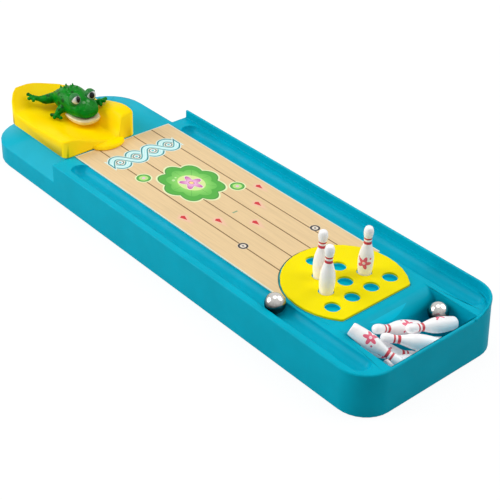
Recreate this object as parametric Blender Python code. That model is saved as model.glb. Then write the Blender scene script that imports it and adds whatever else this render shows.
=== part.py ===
"""A tabletop bowling game: a moulded tray with a lane and two gutters, a drilled pin plate, ten pins,
two steel balls, and a sliding launcher with a sprung animal figure that shoots the ball."""

import math

import bmesh
import bpy
from mathutils import Euler, Matrix, Vector

# The tray, in metres. X runs across the lane, Y along it from the bin to the launcher, Z up.
TRAY_LENGTH = 0.335
TRAY_WIDTH = 0.1014
DECK_HEIGHT = 0.024
TRAY_WALL = 0.0018
BIN_CORNER_RADIUS = 0.017
END_WALL_LEAN = 0.0022
TOP_EDGE_RADIUS = 0.0010
CUT_OVERRUN = 0.002
CLEARANCE = 0.0003

# The launcher end of the tray, where a sloping skirt falls from the deck to a low wall
LAUNCHER_DECK_LENGTH = 0.0585
LAUNCHER_DECK_WIDTH = 0.076
LAUNCHER_DECK_RADIUS = 0.025
SKIRT_REACH = 0.0199
SKIRT_CORNER_RADIUS = 0.027
SKIRT_WALL_HEIGHT = 0.012

# The rail along the far side of the deck
RAIL_HEIGHT = 0.0048
RAIL_THICKNESS = 0.0016
RAIL_FOOT = 0.0025
RAIL_TAIL = 0.006
RAIL_RAMP_LENGTH = 0.016
RAIL_EDGE = 0.0004

# The gutters
GUTTER_CENTRE = 0.0408
GUTTER_RADIUS = 0.0058
GUTTER_DEPTH = 0.0050
GUTTER_START_SETBACK = 0.0095
GUTTER_END_SETBACK = 0.0070

# The lane sheet
LANE_WIDTH = 0.0704
SHEET_THICKNESS = 0.0005
SHEET_PROUD = 0.0001
SHEET_TAIL = 0.0085

# The pin plate and its holes
PLATE_FROM_BIN_END = 0.0612
PLATE_RADIUS = 0.0332
PLATE_BACK_SETBACK = 0.0228
PLATE_BACK_CORNER = 0.0025
PLATE_THICKNESS = 0.0027
PLATE_PROUD = 0.0010
PLATE_GAP = 0.0005
HOLE_DIAMETER = 0.0083
HOLE_SPACING = 0.0138
HOLE_ROW_SPACING = 0.0117
HOLE_ROWS = 4
LAST_ROW_SETBACK = 0.0120

# The bin behind the plate
BIN_WIDTH = 0.0625
BIN_DEPTH = 0.019
BIN_LENGTH = 0.0270
BIN_END_WALL = 0.0018
BIN_LIP_RADIUS = 0.0087
FLOOR_THICKNESS = 0.0018

# The ribbing under the tray
RIB_THICKNESS = 0.0014
RIB_BOTTOM = 0.0165
RIB_BAYS = 5
RIB_FROM_CENTRE = 0.017

# The pins and the balls
PIN_HEIGHT = 0.0303
PIN_RADIUS = 0.0041
BALL_DIAMETER = 0.011
GUTTER_BALL_FROM_PLATE = 0.008

# The launcher housing, a dished form with high corners and a tongue that meets the lane
HOUSING_WIDTH = 0.0516
HOUSING_LENGTH = 0.0642
HOUSING_HEIGHT = 0.0208
HOUSING_OVERHANG = 0.0038
HOUSING_FRONT_RADIUS = 0.0035
HOUSING_REAR_RADIUS = 0.010
HOUSING_RIM_ROUND = 0.0014
MERGE_ROOM = 0.00007
TONGUE_WIDTH = 0.0216
TONGUE_REACH = 0.0072
TONGUE_ROOT = 0.0025
TONGUE_THICKNESS = 0.0022
TONGUE_EDGE = 0.0007
LAUNCH_LINE_SHARE = 0.6066

# The slide under the launcher
LAUNCHER_TRAVEL = 0.030
STEM_FRONT_SHARE = 0.623
STEM_LENGTH = 0.010
STEM_WIDTH = 0.006
SHOE_LENGTH = 0.018
SHOE_WIDTH = 0.014
SHOE_THICKNESS = 0.0016
BASE_FRONT_SHARE = 0.3427
BASE_MARGIN = 0.0045
BASE_CORNER = 0.006
BASE_THICKNESS = 0.0016
SCREW_RADIUS = 0.0008
SCREW_HEAD_RADIUS = 0.0017
SCREW_HEAD_HEIGHT = 0.0008
HOUSING_SCREW_LENGTH = 0.0036
SHOE_SCREW_LENGTH = 0.0034
SCREW_MARGIN = 0.0035

# The sprung rocker that carries the figure
PIVOT_FRONT_SHARE = 0.6153
PIVOT_HEIGHT = 0.0046
PIVOT_PIN_RADIUS = 0.0009
PIVOT_PIN_LENGTH = 0.0150
PIVOT_EAR_RADIUS = 0.0027
ROCKER_WIDTH = 0.0080
ROCKER_BARREL_RADIUS = 0.0019
ROCKER_THICKNESS = 0.0013
ROCKER_BOTTOM = 0.0056
ROCKER_FRONT = 0.0085
ROCKER_REAR = 0.0125
ROCKER_POST_RADIUS = 0.0026
ROCKER_POST_FROM_PIVOT = 0.0052
ROCKER_POST_HEIGHT = 0.0011
FIGURE_SCREW_LENGTH = 0.0062
WINDOW_SIDE_ROOM = 0.0007
WINDOW_END_ROOM = 0.0014
SPRING_RADIUS = 0.0018
SPRING_WIRE = 0.00022
SPRING_TURNS = 2.5
SPRING_FROM_PIVOT = 0.0095

# The figure: a body and head in one form, parted along the mouth, with four legs
FIGURE_LENGTH_SHARE = 0.5966
FIGURE_WIDTH_SHARE = 0.3605
FIGURE_HEIGHT_SHARE = 1.1394
FIGURE_FRONT_SHARE = 0.2259
MOUTH_HEIGHT_SHARE = 0.4346
MOUTH_DROP = 0.0008
LIMB_ROOM = 0.0009
ROCK_ANGLE = math.radians(6)
CREST_RADIUS = 0.0012
CREST_HEIGHT = 0.0030
EYE_RADIUS = 0.0030
EYE_SPREAD_SHARE = 0.3011
EYE_HEIGHT_SHARE = 0.9200
EYE_FRONT_SHARE = 0.3894

# Facets
CORNER_STEPS = 8
BEND_STEPS = 6
ROUND_STEPS = 24
PIN_STEPS = 18
SMALL_STEPS = 12
MERGE_DISTANCE = 0.000001
SHARP_ANGLE = math.radians(35)

# Places that follow from the sizes above
HALF_LENGTH = TRAY_LENGTH / 2
HALF_WIDTH = TRAY_WIDTH / 2
DECK_END = HALF_LENGTH - SKIRT_REACH
LANE_START = DECK_END - LAUNCHER_DECK_LENGTH
BIN_TOP_END = -HALF_LENGTH + END_WALL_LEAN
BIN_END = BIN_TOP_END + BIN_END_WALL
BIN_FRONT = BIN_END + BIN_LENGTH
BIN_FLOOR = DECK_HEIGHT - BIN_DEPTH
PLATE_Y = BIN_END + PLATE_FROM_BIN_END
PLATE_SEAT = DECK_HEIGHT + PLATE_PROUD - PLATE_THICKNESS - CLEARANCE
PIN_SEAT = PLATE_SEAT + CLEARANCE
SHEET_BOTTOM = DECK_HEIGHT + SHEET_PROUD - SHEET_THICKNESS
HOUSING_SIDE = -LAUNCHER_DECK_WIDTH / 2 - HOUSING_OVERHANG
HOUSING_FRONT = LANE_START + CLEARANCE
HOUSING_BOTTOM = DECK_HEIGHT + CLEARANCE
LAUNCH_LINE = HOUSING_SIDE + LAUNCH_LINE_SHARE * HOUSING_WIDTH
STEM_X = HOUSING_SIDE + HOUSING_WIDTH / 2
STEM_Y = HOUSING_FRONT + STEM_FRONT_SHARE * HOUSING_LENGTH
BASE_TOP = HOUSING_BOTTOM + BASE_THICKNESS
PIVOT = Vector((LAUNCH_LINE, HOUSING_FRONT + PIVOT_FRONT_SHARE * HOUSING_LENGTH, DECK_HEIGHT + PIVOT_HEIGHT))
FIGURE_LENGTH = FIGURE_LENGTH_SHARE * HOUSING_LENGTH
FIGURE_WIDTH = FIGURE_WIDTH_SHARE * HOUSING_WIDTH
FIGURE_HEIGHT = FIGURE_HEIGHT_SHARE * HOUSING_HEIGHT
FIGURE_FRONT = HOUSING_FRONT + FIGURE_FRONT_SHARE * HOUSING_LENGTH
MOUTH_HEIGHT = MOUTH_HEIGHT_SHARE * FIGURE_HEIGHT
EYE_SPREAD = EYE_SPREAD_SHARE * FIGURE_WIDTH
EYE_HEIGHT = EYE_HEIGHT_SHARE * FIGURE_HEIGHT
EYE_Y = HOUSING_FRONT + EYE_FRONT_SHARE * HOUSING_LENGTH

# Heights of the housing's top, as shares of its height: each row runs from the near rim to the far rim
DISH_ACROSS_SHARES = (0, 0.12, 0.30, 0.48, 0.62, 0.755, 0.80, 0.90, 1)
DISH_ALONG_SHARES = (0, 0.12, 0.40, 0.62, 0.80, 1)
HOUSING_ACROSS_SHARES = (
    0.06, 0.12, 0.20, 0.30, 0.39, 0.48, 0.62, 0.70, 0.755, 0.777, 0.80, 0.85, 0.90, 0.95,
)
HOUSING_STATION_SHARES = (0.12, 0.20, 0.30, 0.40, 0.51, 0.62, 0.71, 0.80)
RIM_SHARES = (0, 0.30, 0.65, 1)
CORNER_STEP_SHARES = (0, 0.05, 0.19, 0.42, 0.69, 1)
DISH_HEIGHT_SHARES = (
    (0.50, 0.51, 0.37, 0.20, 0.110, 0.100, 0.68, 0.75, 0.75),
    (0.47, 0.48, 0.36, 0.21, 0.130, 0.130, 0.70, 0.81, 0.81),
    (0.41, 0.42, 0.34, 0.24, 0.19, 0.22, 0.42, 0.62, 0.64),
    (0.37, 0.38, 0.34, 0.30, 0.28, 0.29, 0.33, 0.40, 0.42),
    (0.37, 0.42, 0.43, 0.41, 0.37, 0.35, 0.36, 0.40, 0.41),
    (0.86, 0.98, 1.00, 0.90, 0.78, 0.66, 0.60, 0.52, 0.48),
)

# A pin's outline from foot to crown: shares of its radius and of its height
PIN_OUTLINE_SHARES = (
    (0.74, 0), (0.82, 0.015), (0.90, 0.12), (0.98, 0.24), (1.00, 0.33), (0.94, 0.43), (0.79, 0.53),
    (0.62, 0.62), (0.54, 0.69), (0.54, 0.76), (0.61, 0.83), (0.645, 0.89), (0.57, 0.95), (0.34, 0.99), (0, 1),
)

# Sections of the head and body, then of the jaw, from front to rear: place along the figure, half
# width, top and bottom, as shares
BODY_SECTION_SHARES = (
    (0.06, 0.32, 0.59, 0.498),
    (0.08, 0.60, 0.68, 0.456),
    (0.13, 0.77, 0.77, 0.439),
    (0.20, 0.89, 0.84, 0.414),
    (0.29, 0.96, 0.89, 0.354),
    (0.39, 0.95, 0.93, 0.321),
    (0.49, 0.97, 0.98, 0.304),
    (0.59, 1.00, 1.00, 0.312),
    (0.70, 1.00, 0.97, 0.338),
    (0.80, 0.95, 0.89, 0.38),
    (0.90, 0.80, 0.80, 0.456),
    (0.96, 0.56, 0.72, 0.532),
    (1.00, 0.26, 0.66, 0.599),
)
JAW_SECTION_SHARES = (
    (0.02, 0.32, 0.44, 0.35),
    (0.04, 0.56, 0.49, 0.30),
    (0.09, 0.77, 0.49, 0.265),
    (0.17, 0.89, 0.49, 0.245),
    (0.29, 0.95, 0.49, 0.24),
    (0.37, 0.95, 0.49, 0.25),
    (0.45, 0.90, 0.49, 0.265),
)
SECTION_SQUARE_SHARE = 0.85
CREST_TIP_SHARE = 0.3
SLOT_CORNER_SHARE = 0.25

# The legs as bones, from the body to the foot and then its toes. A joint is placed by shares of the
# figure's length, width and height, and is as thick as a share of its half width; it rides just
# above the dish
LIMB_SHARES = {
    "near_arm": (
        (
            (0.54, -0.34, 0.55, 0.28), (0.57, -0.52, 0.49, 0.20),
            (0.55, -0.66, 0.41, 0.15), (0.52, -0.74, 0.36, 0.15),
        ),
        ((0.60, -0.84, 0.35, 0.10), (0.49, -0.87, 0.35, 0.10), (0.44, -0.67, 0.34, 0.10)),
    ),
    "far_arm": (
        (
            (0.45, 0.34, 0.55, 0.28), (0.39, 0.48, 0.57, 0.19),
            (0.33, 0.60, 0.58, 0.15), (0.29, 0.67, 0.58, 0.15),
        ),
        ((0.28, 0.90, 0.57, 0.10), (0.22, 0.76, 0.56, 0.10), (0.23, 0.62, 0.55, 0.10)),
    ),
    "near_leg": (
        (
            (0.87, -0.27, 0.49, 0.34), (0.89, -0.64, 0.54, 0.29),
            (0.95, -0.80, 0.62, 0.16), (0.99, -0.96, 0.67, 0.15),
        ),
        ((1.09, -1.07, 0.70, 0.10), (1.00, -1.16, 0.68, 0.10), (0.93, -1.07, 0.65, 0.10)),
    ),
    "far_leg": (
        (
            (0.85, 0.24, 0.49, 0.32), (0.80, 0.46, 0.51, 0.26),
            (0.72, 0.58, 0.49, 0.16), (0.68, 0.65, 0.48, 0.15),
        ),
        ((0.70, 0.81, 0.48, 0.10), (0.62, 0.79, 0.47, 0.10), (0.60, 0.66, 0.46, 0.10)),
    ),
}

# The crest: small points along the back, at shares of the figure's length and half width
CREST_SHARES = (
    (0.55, 0.30), (0.56, -0.28), (0.61, 0), (0.67, 0.28),
    (0.68, -0.30), (0.74, 0), (0.82, 0.16), (0.84, -0.16),
)

# Where each standing pin is, as a row from the head pin's hole and a place in the row
STANDING_PIN_ROWS = ((1, 0), (2, 0), (2, 2))

# The heap in the bin. A pin's foot is placed from the bin's middle: shares of its half width, of its
# half length and of its depth up from the floor, then the turn about Z and the tilt, in degrees
HEAP_PIN_SHARES = (
    ((0.37, 0.53, 0.49), 170, 18),
    ((0.82, -0.31, 0.64), 167, 11),
    ((-0.74, 0.79, 0.64), -30, -20),
    ((-0.90, 1.18, 1.17), -68, -22),
    ((0.25, -0.785, 0.58), 143, 10),
    ((0.09, -0.085, 0.33), -20, -7),
    ((-0.63, -0.105, 0.29), -19, -2),
)
HEAP_BALL_SHARES = (0.81, 0.44, 0.68)


def finish(name, colour, roughness, metallic=0.0):
    """A material with the colour, gloss and metal of the real part."""
    material = bpy.data.materials.new(name)
    material.use_nodes = True
    shader = material.node_tree.nodes["Principled BSDF"]
    shader.inputs["Base Color"].default_value = (*colour, 1)
    shader.inputs["Roughness"].default_value = roughness
    shader.inputs["Metallic"].default_value = metallic
    return material


def smoothstep(share):
    """A soft rise from 0 to 1."""
    share = min(max(share, 0), 1)
    return share * share * (3 - 2 * share)


def steady_curve(places, values, at):
    """A smooth curve through the values that never overshoots them."""
    index = 0
    while index < len(places) - 2 and at > places[index + 1]:
        index += 1
    rises = [(values[i + 1] - values[i]) / (places[i + 1] - places[i]) for i in range(len(places) - 1)]

    def slope(i):
        if i == 0:
            return rises[0]
        if i == len(rises):
            return rises[-1]
        before, after = rises[i - 1], rises[i]
        return 0 if before * after <= 0 else 2 * before * after / (before + after)

    span = places[index + 1] - places[index]
    t = (at - places[index]) / span
    start, end = values[index], values[index + 1]
    return (
        (1 + 2 * t) * (1 - t) ** 2 * start
        + t * (1 - t) ** 2 * span * slope(index)
        + t * t * (3 - 2 * t) * end
        + t * t * (t - 1) * span * slope(index + 1)
    )


def arc(centre, radius, start, end, steps):
    """Points on an arc in a plane, between two angles in degrees."""
    angles = [math.radians(start + (end - start) * i / steps) for i in range(steps + 1)]
    return [(centre[0] + radius * math.cos(a), centre[1] + radius * math.sin(a)) for a in angles]


def rounded_outline(low, high, radii):
    """A rectangle with rounded corners, counter-clockwise from its low corner. A radius of 0 stays sharp."""
    corners = ((low[0], low[1]), (high[0], low[1]), (high[0], high[1]), (low[0], high[1]))
    inward = ((1, 1), (-1, 1), (-1, -1), (1, -1))
    points = []
    for quarter, ((x, y), (sx, sy), radius) in enumerate(zip(corners, inward, radii)):
        if radius <= 0:
            points.append((x, y))
            continue
        start = 180 + 90 * quarter
        points += arc((x + sx * radius, y + sy * radius), radius, start, start + 90, CORNER_STEPS)
    return points


def loft(rings):
    """A closed solid through rings of equal counts, with its first and last ring filled."""
    bm = bmesh.new()
    rows = [[bm.verts.new(point) for point in ring] for ring in rings]
    for lower, upper in zip(rows, rows[1:]):
        for i in range(len(lower)):
            j = (i + 1) % len(lower)
            bm.faces.new((lower[i], lower[j], upper[j], upper[i]))
    bm.faces.new(list(reversed(rows[0])))
    bm.faces.new(rows[-1])
    bmesh.ops.recalc_face_normals(bm, faces=bm.faces)
    return bm


def upright(outline, low, high):
    """An outline in plan, raised from one height to another."""
    return loft([[(x, y, z) for x, y in outline] for z in (low, high)])


def across(outline, low, high):
    """An outline of Y and Z, carried along X."""
    return loft([[(x, y, z) for y, z in outline] for x in (low, high)])


def along(outline, low, high):
    """An outline of X and Z, carried along Y."""
    return loft([[(x, y, z) for x, z in outline] for y in (low, high)])


def block(low, high):
    """A plain block between two corners."""
    return upright(rounded_outline(low[:2], high[:2], (0, 0, 0, 0)), low[2], high[2])


def turned(profile, steps):
    """A profile of radii and heights, spun about Z."""
    bm = bmesh.new()
    verts = [bm.verts.new((radius, 0, height)) for radius, height in profile]
    edges = [bm.edges.new(pair) for pair in zip(verts, verts[1:])]
    bmesh.ops.spin(bm, geom=verts + edges, axis=(0, 0, 1), angle=math.tau, steps=steps)
    bmesh.ops.remove_doubles(bm, verts=bm.verts, dist=MERGE_DISTANCE)
    bmesh.ops.recalc_face_normals(bm, faces=bm.faces)
    return bm


def rod(radius, length, steps=SMALL_STEPS):
    """A plain rod standing on the origin."""
    return turned(((0, 0), (radius, 0), (radius, length), (0, length)), steps)


def moved(bm, offset=(0, 0, 0), turn=(0, 0, 0)):
    """The same mesh, turned in degrees and then shifted."""
    rotation = Euler([math.radians(angle) for angle in turn]).to_matrix().to_4x4()
    bmesh.ops.transform(bm, matrix=Matrix.Translation(offset) @ rotation, verts=bm.verts)
    return bm


def thing(name, bm, material=None, origin=(0, 0, 0)):
    """An object from a mesh in world places, with its own origin. Without a material it is a cutter."""
    bmesh.ops.translate(bm, vec=-Vector(origin), verts=bm.verts)
    mesh = bpy.data.meshes.new(name)
    bm.to_mesh(mesh)
    bm.free()
    mesh.shade_smooth()
    mesh.set_sharp_from_angle(angle=SHARP_ANGLE)
    made = bpy.data.objects.new(name, mesh)
    made.location = origin
    bpy.context.collection.objects.link(made)
    if material:
        mesh.materials.append(material)
    else:
        made.hide_render = True
        made.display_type = "WIRE"
    return made


def combine(target, name, bm, operation="DIFFERENCE"):
    """Cuts a shape out of a piece, or joins it on."""
    tool = thing(name, bm)
    modifier = target.modifiers.new(name, "BOOLEAN")
    modifier.operation = operation
    modifier.solver = "EXACT"
    modifier.object = tool
    return tool


def shelf_rings():
    """The tray's full-width part: its end wall leans, and its top edge is rounded."""
    rings = []
    levels = [(0, 0), (DECK_HEIGHT - TOP_EDGE_RADIUS, 0)]
    for step in range(1, 4):
        angle = math.radians(90 * step / 3)
        inset = TOP_EDGE_RADIUS * (1 - math.cos(angle))
        levels.append((DECK_HEIGHT - TOP_EDGE_RADIUS * (1 - math.sin(angle)), inset))
    for height, inset in levels:
        end = -HALF_LENGTH + END_WALL_LEAN * height / DECK_HEIGHT + inset
        side = HALF_WIDTH - inset
        radius = BIN_CORNER_RADIUS - inset
        outline = rounded_outline((-side, end), (side, LANE_START), (radius, radius, 0, 0))
        rings.append([(x, y, height) for x, y in outline])
    return rings


def skirt_rings():
    """The launcher end: a low wall and a skirt that slopes up to the narrower deck."""
    start = LANE_START - CUT_OVERRUN
    corners = (0, 0, SKIRT_CORNER_RADIUS, SKIRT_CORNER_RADIUS)
    wall = rounded_outline((-HALF_WIDTH, start), (HALF_WIDTH, HALF_LENGTH), corners)
    side = LAUNCHER_DECK_WIDTH / 2
    corners = (0, 0, LAUNCHER_DECK_RADIUS, LAUNCHER_DECK_RADIUS)
    deck = rounded_outline((-side, start), (side, DECK_END), corners)
    return [
        [(x, y, 0) for x, y in wall],
        [(x, y, SKIRT_WALL_HEIGHT) for x, y in wall],
        [(x, y, DECK_HEIGHT) for x, y in deck],
    ]


def skirt_cavity_rings():
    """The hollow under the skirt, one wall inside it."""
    start = LANE_START - 2 * CUT_OVERRUN
    rise = DECK_HEIGHT - SKIRT_WALL_HEIGHT
    side_run = HALF_WIDTH - LAUNCHER_DECK_WIDTH / 2
    roof_share = (DECK_HEIGHT - TRAY_WALL - SKIRT_WALL_HEIGHT) / rise
    side_gap = TRAY_WALL * math.hypot(side_run, rise) / rise
    end_gap = TRAY_WALL * math.hypot(SKIRT_REACH, rise) / rise
    wall_side = HALF_WIDTH - TRAY_WALL
    wall_end = HALF_LENGTH - TRAY_WALL
    wall_radius = SKIRT_CORNER_RADIUS - TRAY_WALL
    roof_side = HALF_WIDTH - side_run * roof_share - side_gap
    roof_end = HALF_LENGTH - SKIRT_REACH * roof_share - end_gap
    roof_radius = LAUNCHER_DECK_RADIUS - TRAY_WALL
    wall = rounded_outline((-wall_side, start), (wall_side, wall_end), (0, 0, wall_radius, wall_radius))
    roof = rounded_outline((-roof_side, start), (roof_side, roof_end), (0, 0, roof_radius, roof_radius))
    return [
        [(x, y, -CUT_OVERRUN) for x, y in wall],
        [(x, y, SKIRT_WALL_HEIGHT - TRAY_WALL / 2) for x, y in wall],
        [(x, y, DECK_HEIGHT - TRAY_WALL) for x, y in roof],
    ]


def rail_rings():
    """The rail's sections: down the far side, round the bin corner, and sinking into the end wall."""
    radius = BIN_CORNER_RADIUS
    centre = (HALF_WIDTH - radius, BIN_TOP_END + radius)
    path = [(HALF_WIDTH, LANE_START, 1, 0)]
    for step in range(CORNER_STEPS + 1):
        angle = -math.radians(90 * step / CORNER_STEPS)
        nx, ny = math.cos(angle), math.sin(angle)
        path.append((centre[0] + radius * nx, centre[1] + radius * ny, nx, ny))
    tail_steps = 4
    for step in range(1, tail_steps + 1):
        path.append((centre[0] - RAIL_TAIL * step / tail_steps, BIN_TOP_END, 0, -1))
    reach = [0]
    for (ax, ay, *_), (bx, by, *_) in zip(path, path[1:]):
        reach.append(reach[-1] + math.hypot(bx - ax, by - ay))
    rings = []
    for (x, y, nx, ny), gone in zip(path, reach):
        rise = RAIL_HEIGHT * smoothstep((reach[-1] - gone) / RAIL_RAMP_LENGTH)
        top = DECK_HEIGHT + rise
        edge = min(RAIL_EDGE, (rise + RAIL_FOOT) / 2)
        section = (
            (0, DECK_HEIGHT - RAIL_FOOT),
            (0, top - edge),
            (edge, top),
            (RAIL_THICKNESS - edge, top),
            (RAIL_THICKNESS, top - edge),
            (RAIL_THICKNESS, DECK_HEIGHT - RAIL_FOOT),
        )
        rings.append([(x - nx * inset, y - ny * inset, z) for inset, z in section])
    return rings


def gutter_cutter(side):
    """A round-ended trough, lying along the lane."""
    low = BIN_TOP_END + GUTTER_END_SETBACK
    high = LANE_START - GUTTER_START_SETBACK
    radius = GUTTER_RADIUS
    length = high - low
    start = [(x, z + radius) for z, x in arc((0, 0), radius, 180, 90, BEND_STEPS)]
    end = [(x, z + length - radius) for z, x in arc((0, 0), radius, 90, 0, BEND_STEPS)]
    profile = [(max(x, 0), z) for x, z in start + end]
    profile[0] = (0, profile[0][1])
    profile[-1] = (0, profile[-1][1])
    bm = turned(profile, ROUND_STEPS)
    height = DECK_HEIGHT - GUTTER_DEPTH + radius
    return moved(bm, (side * GUTTER_CENTRE, low, height), (-90, 0, 0))


def sheet_outline(margin):
    """The lane sheet: square at the launcher, hollowed to the plate's round front."""
    half = LANE_WIDTH / 2 + margin
    radius = PLATE_RADIUS + PLATE_GAP - margin
    tail = PLATE_Y + SHEET_TAIL
    reach = math.degrees(math.asin((tail - PLATE_Y) / radius))
    return [
        (-half, LANE_START + margin),
        (-half, tail),
        *arc((0, PLATE_Y), radius, 180 - reach, reach, ROUND_STEPS),
        (half, tail),
        (half, LANE_START + margin),
    ]


def plate_outline(margin):
    """The pin plate: a round front cut off by a straight back with rounded corners."""
    radius = PLATE_RADIUS + margin
    corner = PLATE_BACK_CORNER
    back = PLATE_Y - PLATE_BACK_SETBACK - margin
    drop = PLATE_Y - back - corner
    reach = radius - corner
    corner_x = math.sqrt(reach * reach - drop * drop)
    tangent = math.degrees(math.atan2(-drop, corner_x))
    return (
        arc((0, PLATE_Y), radius, tangent, 180 - tangent, ROUND_STEPS)
        + arc((-corner_x, PLATE_Y - drop), corner, 180 - tangent, 270, BEND_STEPS)[1:]
        + arc((corner_x, PLATE_Y - drop), corner, -90, tangent, BEND_STEPS)[:-1]
    )


def hole_place(row, place):
    """The middle of one pin hole. The row with one hole faces the launcher."""
    back = PLATE_Y - LAST_ROW_SETBACK
    return (place - row / 2) * HOLE_SPACING, back + (HOLE_ROWS - 1 - row) * HOLE_ROW_SPACING


def bin_outline():
    """The bin seen from the side: a rounded lip, a drop, a flat floor and the end wall."""
    top = DECK_HEIGHT + CUT_OVERRUN
    lip_start = BIN_FRONT + BIN_LIP_RADIUS
    lip = arc((lip_start, DECK_HEIGHT - BIN_LIP_RADIUS), BIN_LIP_RADIUS, 90, 180, CORNER_STEPS)
    return [(lip_start, top), *lip, (BIN_FRONT, BIN_FLOOR), (BIN_END, BIN_FLOOR), (BIN_END, top)]


def make_tray(material):
    """The tray: one moulding with the gutters, the lane and plate recesses, the bin and the ribbing."""
    tray = thing("tray_body", loft(shelf_rings()), material)
    combine(tray, "join_skirt", loft(skirt_rings()), "UNION")
    combine(tray, "join_rail", loft(rail_rings()), "UNION")

    combine(tray, "cut_near_gutter", gutter_cutter(-1))
    combine(tray, "cut_far_gutter", gutter_cutter(1))
    top = DECK_HEIGHT + CUT_OVERRUN
    combine(tray, "cut_sheet_recess", upright(sheet_outline(0), SHEET_BOTTOM - CLEARANCE, top))
    combine(tray, "cut_plate_recess", upright(plate_outline(CLEARANCE), PLATE_SEAT, top))
    combine(tray, "cut_bin", across(bin_outline(), -BIN_WIDTH / 2, BIN_WIDTH / 2))

    slot_half = (STEM_WIDTH + 2 * CLEARANCE) / 2
    slot_low = STEM_X - STEM_LENGTH / 2 - CLEARANCE
    slot_high = STEM_X + LAUNCHER_TRAVEL + STEM_LENGTH / 2 + CLEARANCE
    corners = [slot_half * SLOT_CORNER_SHARE] * 4
    slot = rounded_outline((slot_low, STEM_Y - slot_half), (slot_high, STEM_Y + slot_half), corners)
    combine(tray, "cut_slide_slot", upright(slot, DECK_HEIGHT - TRAY_WALL - CUT_OVERRUN, top))

    cut_underside(tray)
    return tray


def cut_underside(tray):
    """The hollow below: an open foot, pockets beside the bin, and bays between the ribs."""
    side = HALF_WIDTH - TRAY_WALL
    shelf_end = LANE_START - TRAY_WALL
    foot_top = BIN_FLOOR - FLOOR_THICKNESS
    corner = BIN_CORNER_RADIUS - TRAY_WALL
    rings = []
    for height in (-CUT_OVERRUN, foot_top):
        end = -HALF_LENGTH + TRAY_WALL + END_WALL_LEAN * max(height, 0) / DECK_HEIGHT
        outline = rounded_outline((-side, end), (side, shelf_end), (corner, corner, 0, 0))
        rings.append([(x, y, height) for x, y in outline])
    combine(tray, "cut_foot", loft(rings))
    combine(tray, "cut_skirt_hollow", loft(skirt_cavity_rings()))

    overlap = CLEARANCE
    gutter_roof = DECK_HEIGHT - GUTTER_DEPTH - TRAY_WALL
    deck_roof = PLATE_SEAT - TRAY_WALL
    pocket_low = BIN_END + corner - BIN_END_WALL
    bin_side = BIN_WIDTH / 2 + TRAY_WALL
    bin_front = BIN_FRONT + TRAY_WALL
    for name, low, high in (("near", -side, -bin_side), ("far", bin_side, side)):
        pocket = block((low, pocket_low, foot_top - overlap), (high, bin_front + overlap, gutter_roof))
        combine(tray, f"cut_{name}_pocket", pocket)
    hollow = block((-side, bin_front, foot_top - overlap), (side, shelf_end, RIB_BOTTOM))
    combine(tray, "cut_under_ribs", hollow)

    bays_start = BIN_FRONT + BIN_LIP_RADIUS
    pitch = (shelf_end - bays_start + RIB_THICKNESS) / RIB_BAYS
    inner = GUTTER_CENTRE - GUTTER_RADIUS - TRAY_WALL
    rib_side = RIB_FROM_CENTRE + RIB_THICKNESS / 2
    rib_inside = RIB_FROM_CENTRE - RIB_THICKNESS / 2
    base = RIB_BOTTOM - overlap
    outer = (
        (rib_side, base), (side, base), (side, gutter_roof),
        (inner, gutter_roof), (inner, deck_roof), (rib_side, deck_roof),
    )
    middle = ((-rib_inside, base), (rib_inside, base), (rib_inside, deck_roof), (-rib_inside, deck_roof))
    for bay in range(RIB_BAYS):
        low = bays_start + bay * pitch
        high = low + pitch - RIB_THICKNESS
        combine(tray, f"cut_far_bay_{bay + 1}", along(outer, low, high))
        combine(tray, f"cut_near_bay_{bay + 1}", along([(-x, z) for x, z in outer], low, high))
        combine(tray, f"cut_middle_bay_{bay + 1}", along(middle, low, high))


def make_lane_sheet(material):
    """The printed lane sheet, let into the deck."""
    sheet = upright(sheet_outline(-CLEARANCE), SHEET_BOTTOM, DECK_HEIGHT + SHEET_PROUD)
    return thing("lane_sheet", sheet, material)


def make_pin_plate(material):
    """The pin plate with its triangle of holes."""
    top = DECK_HEIGHT + PLATE_PROUD
    plate = thing("pin_plate", upright(plate_outline(0), top - PLATE_THICKNESS, top), material)
    length = PLATE_THICKNESS + 2 * CUT_OVERRUN
    for row in range(HOLE_ROWS):
        for place in range(row + 1):
            x, y = hole_place(row, place)
            low = top - PLATE_THICKNESS - CUT_OVERRUN
            hole = moved(rod(HOLE_DIAMETER / 2, length, PIN_STEPS), (x, y, low))
            combine(plate, f"cut_hole_{row + 1}_{place + 1}", hole)
    return plate


def make_pins(material):
    """Ten pins that share one turned mesh: three stand in their holes and seven lie in the bin."""
    profile = [(0, 0)] + [(r * PIN_RADIUS, h * PIN_HEIGHT) for r, h in PIN_OUTLINE_SHARES]
    first = thing("pin_1", turned(profile, PIN_STEPS), material)
    pins = [first]
    for number in range(2, len(STANDING_PIN_ROWS) + len(HEAP_PIN_SHARES) + 1):
        pin = bpy.data.objects.new(f"pin_{number}", first.data)
        bpy.context.collection.objects.link(pin)
        pins.append(pin)
    for pin, (row, place) in zip(pins, STANDING_PIN_ROWS):
        pin.location = (*hole_place(row, place), PIN_SEAT)
    for pin, (place, turn, tilt) in zip(pins[len(STANDING_PIN_ROWS):], HEAP_PIN_SHARES):
        pin.location = heap_place(place)
        pin.rotation_euler = Euler((0, math.radians(90 - tilt), math.radians(turn)))
    return pins


def heap_place(shares):
    """A place in the bin from shares of its half width, half length and depth."""
    x, y, z = shares
    middle = (BIN_FRONT + BIN_END) / 2
    return x * BIN_WIDTH / 2, middle + y * BIN_LENGTH / 2, BIN_FLOOR + z * BIN_DEPTH


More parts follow.
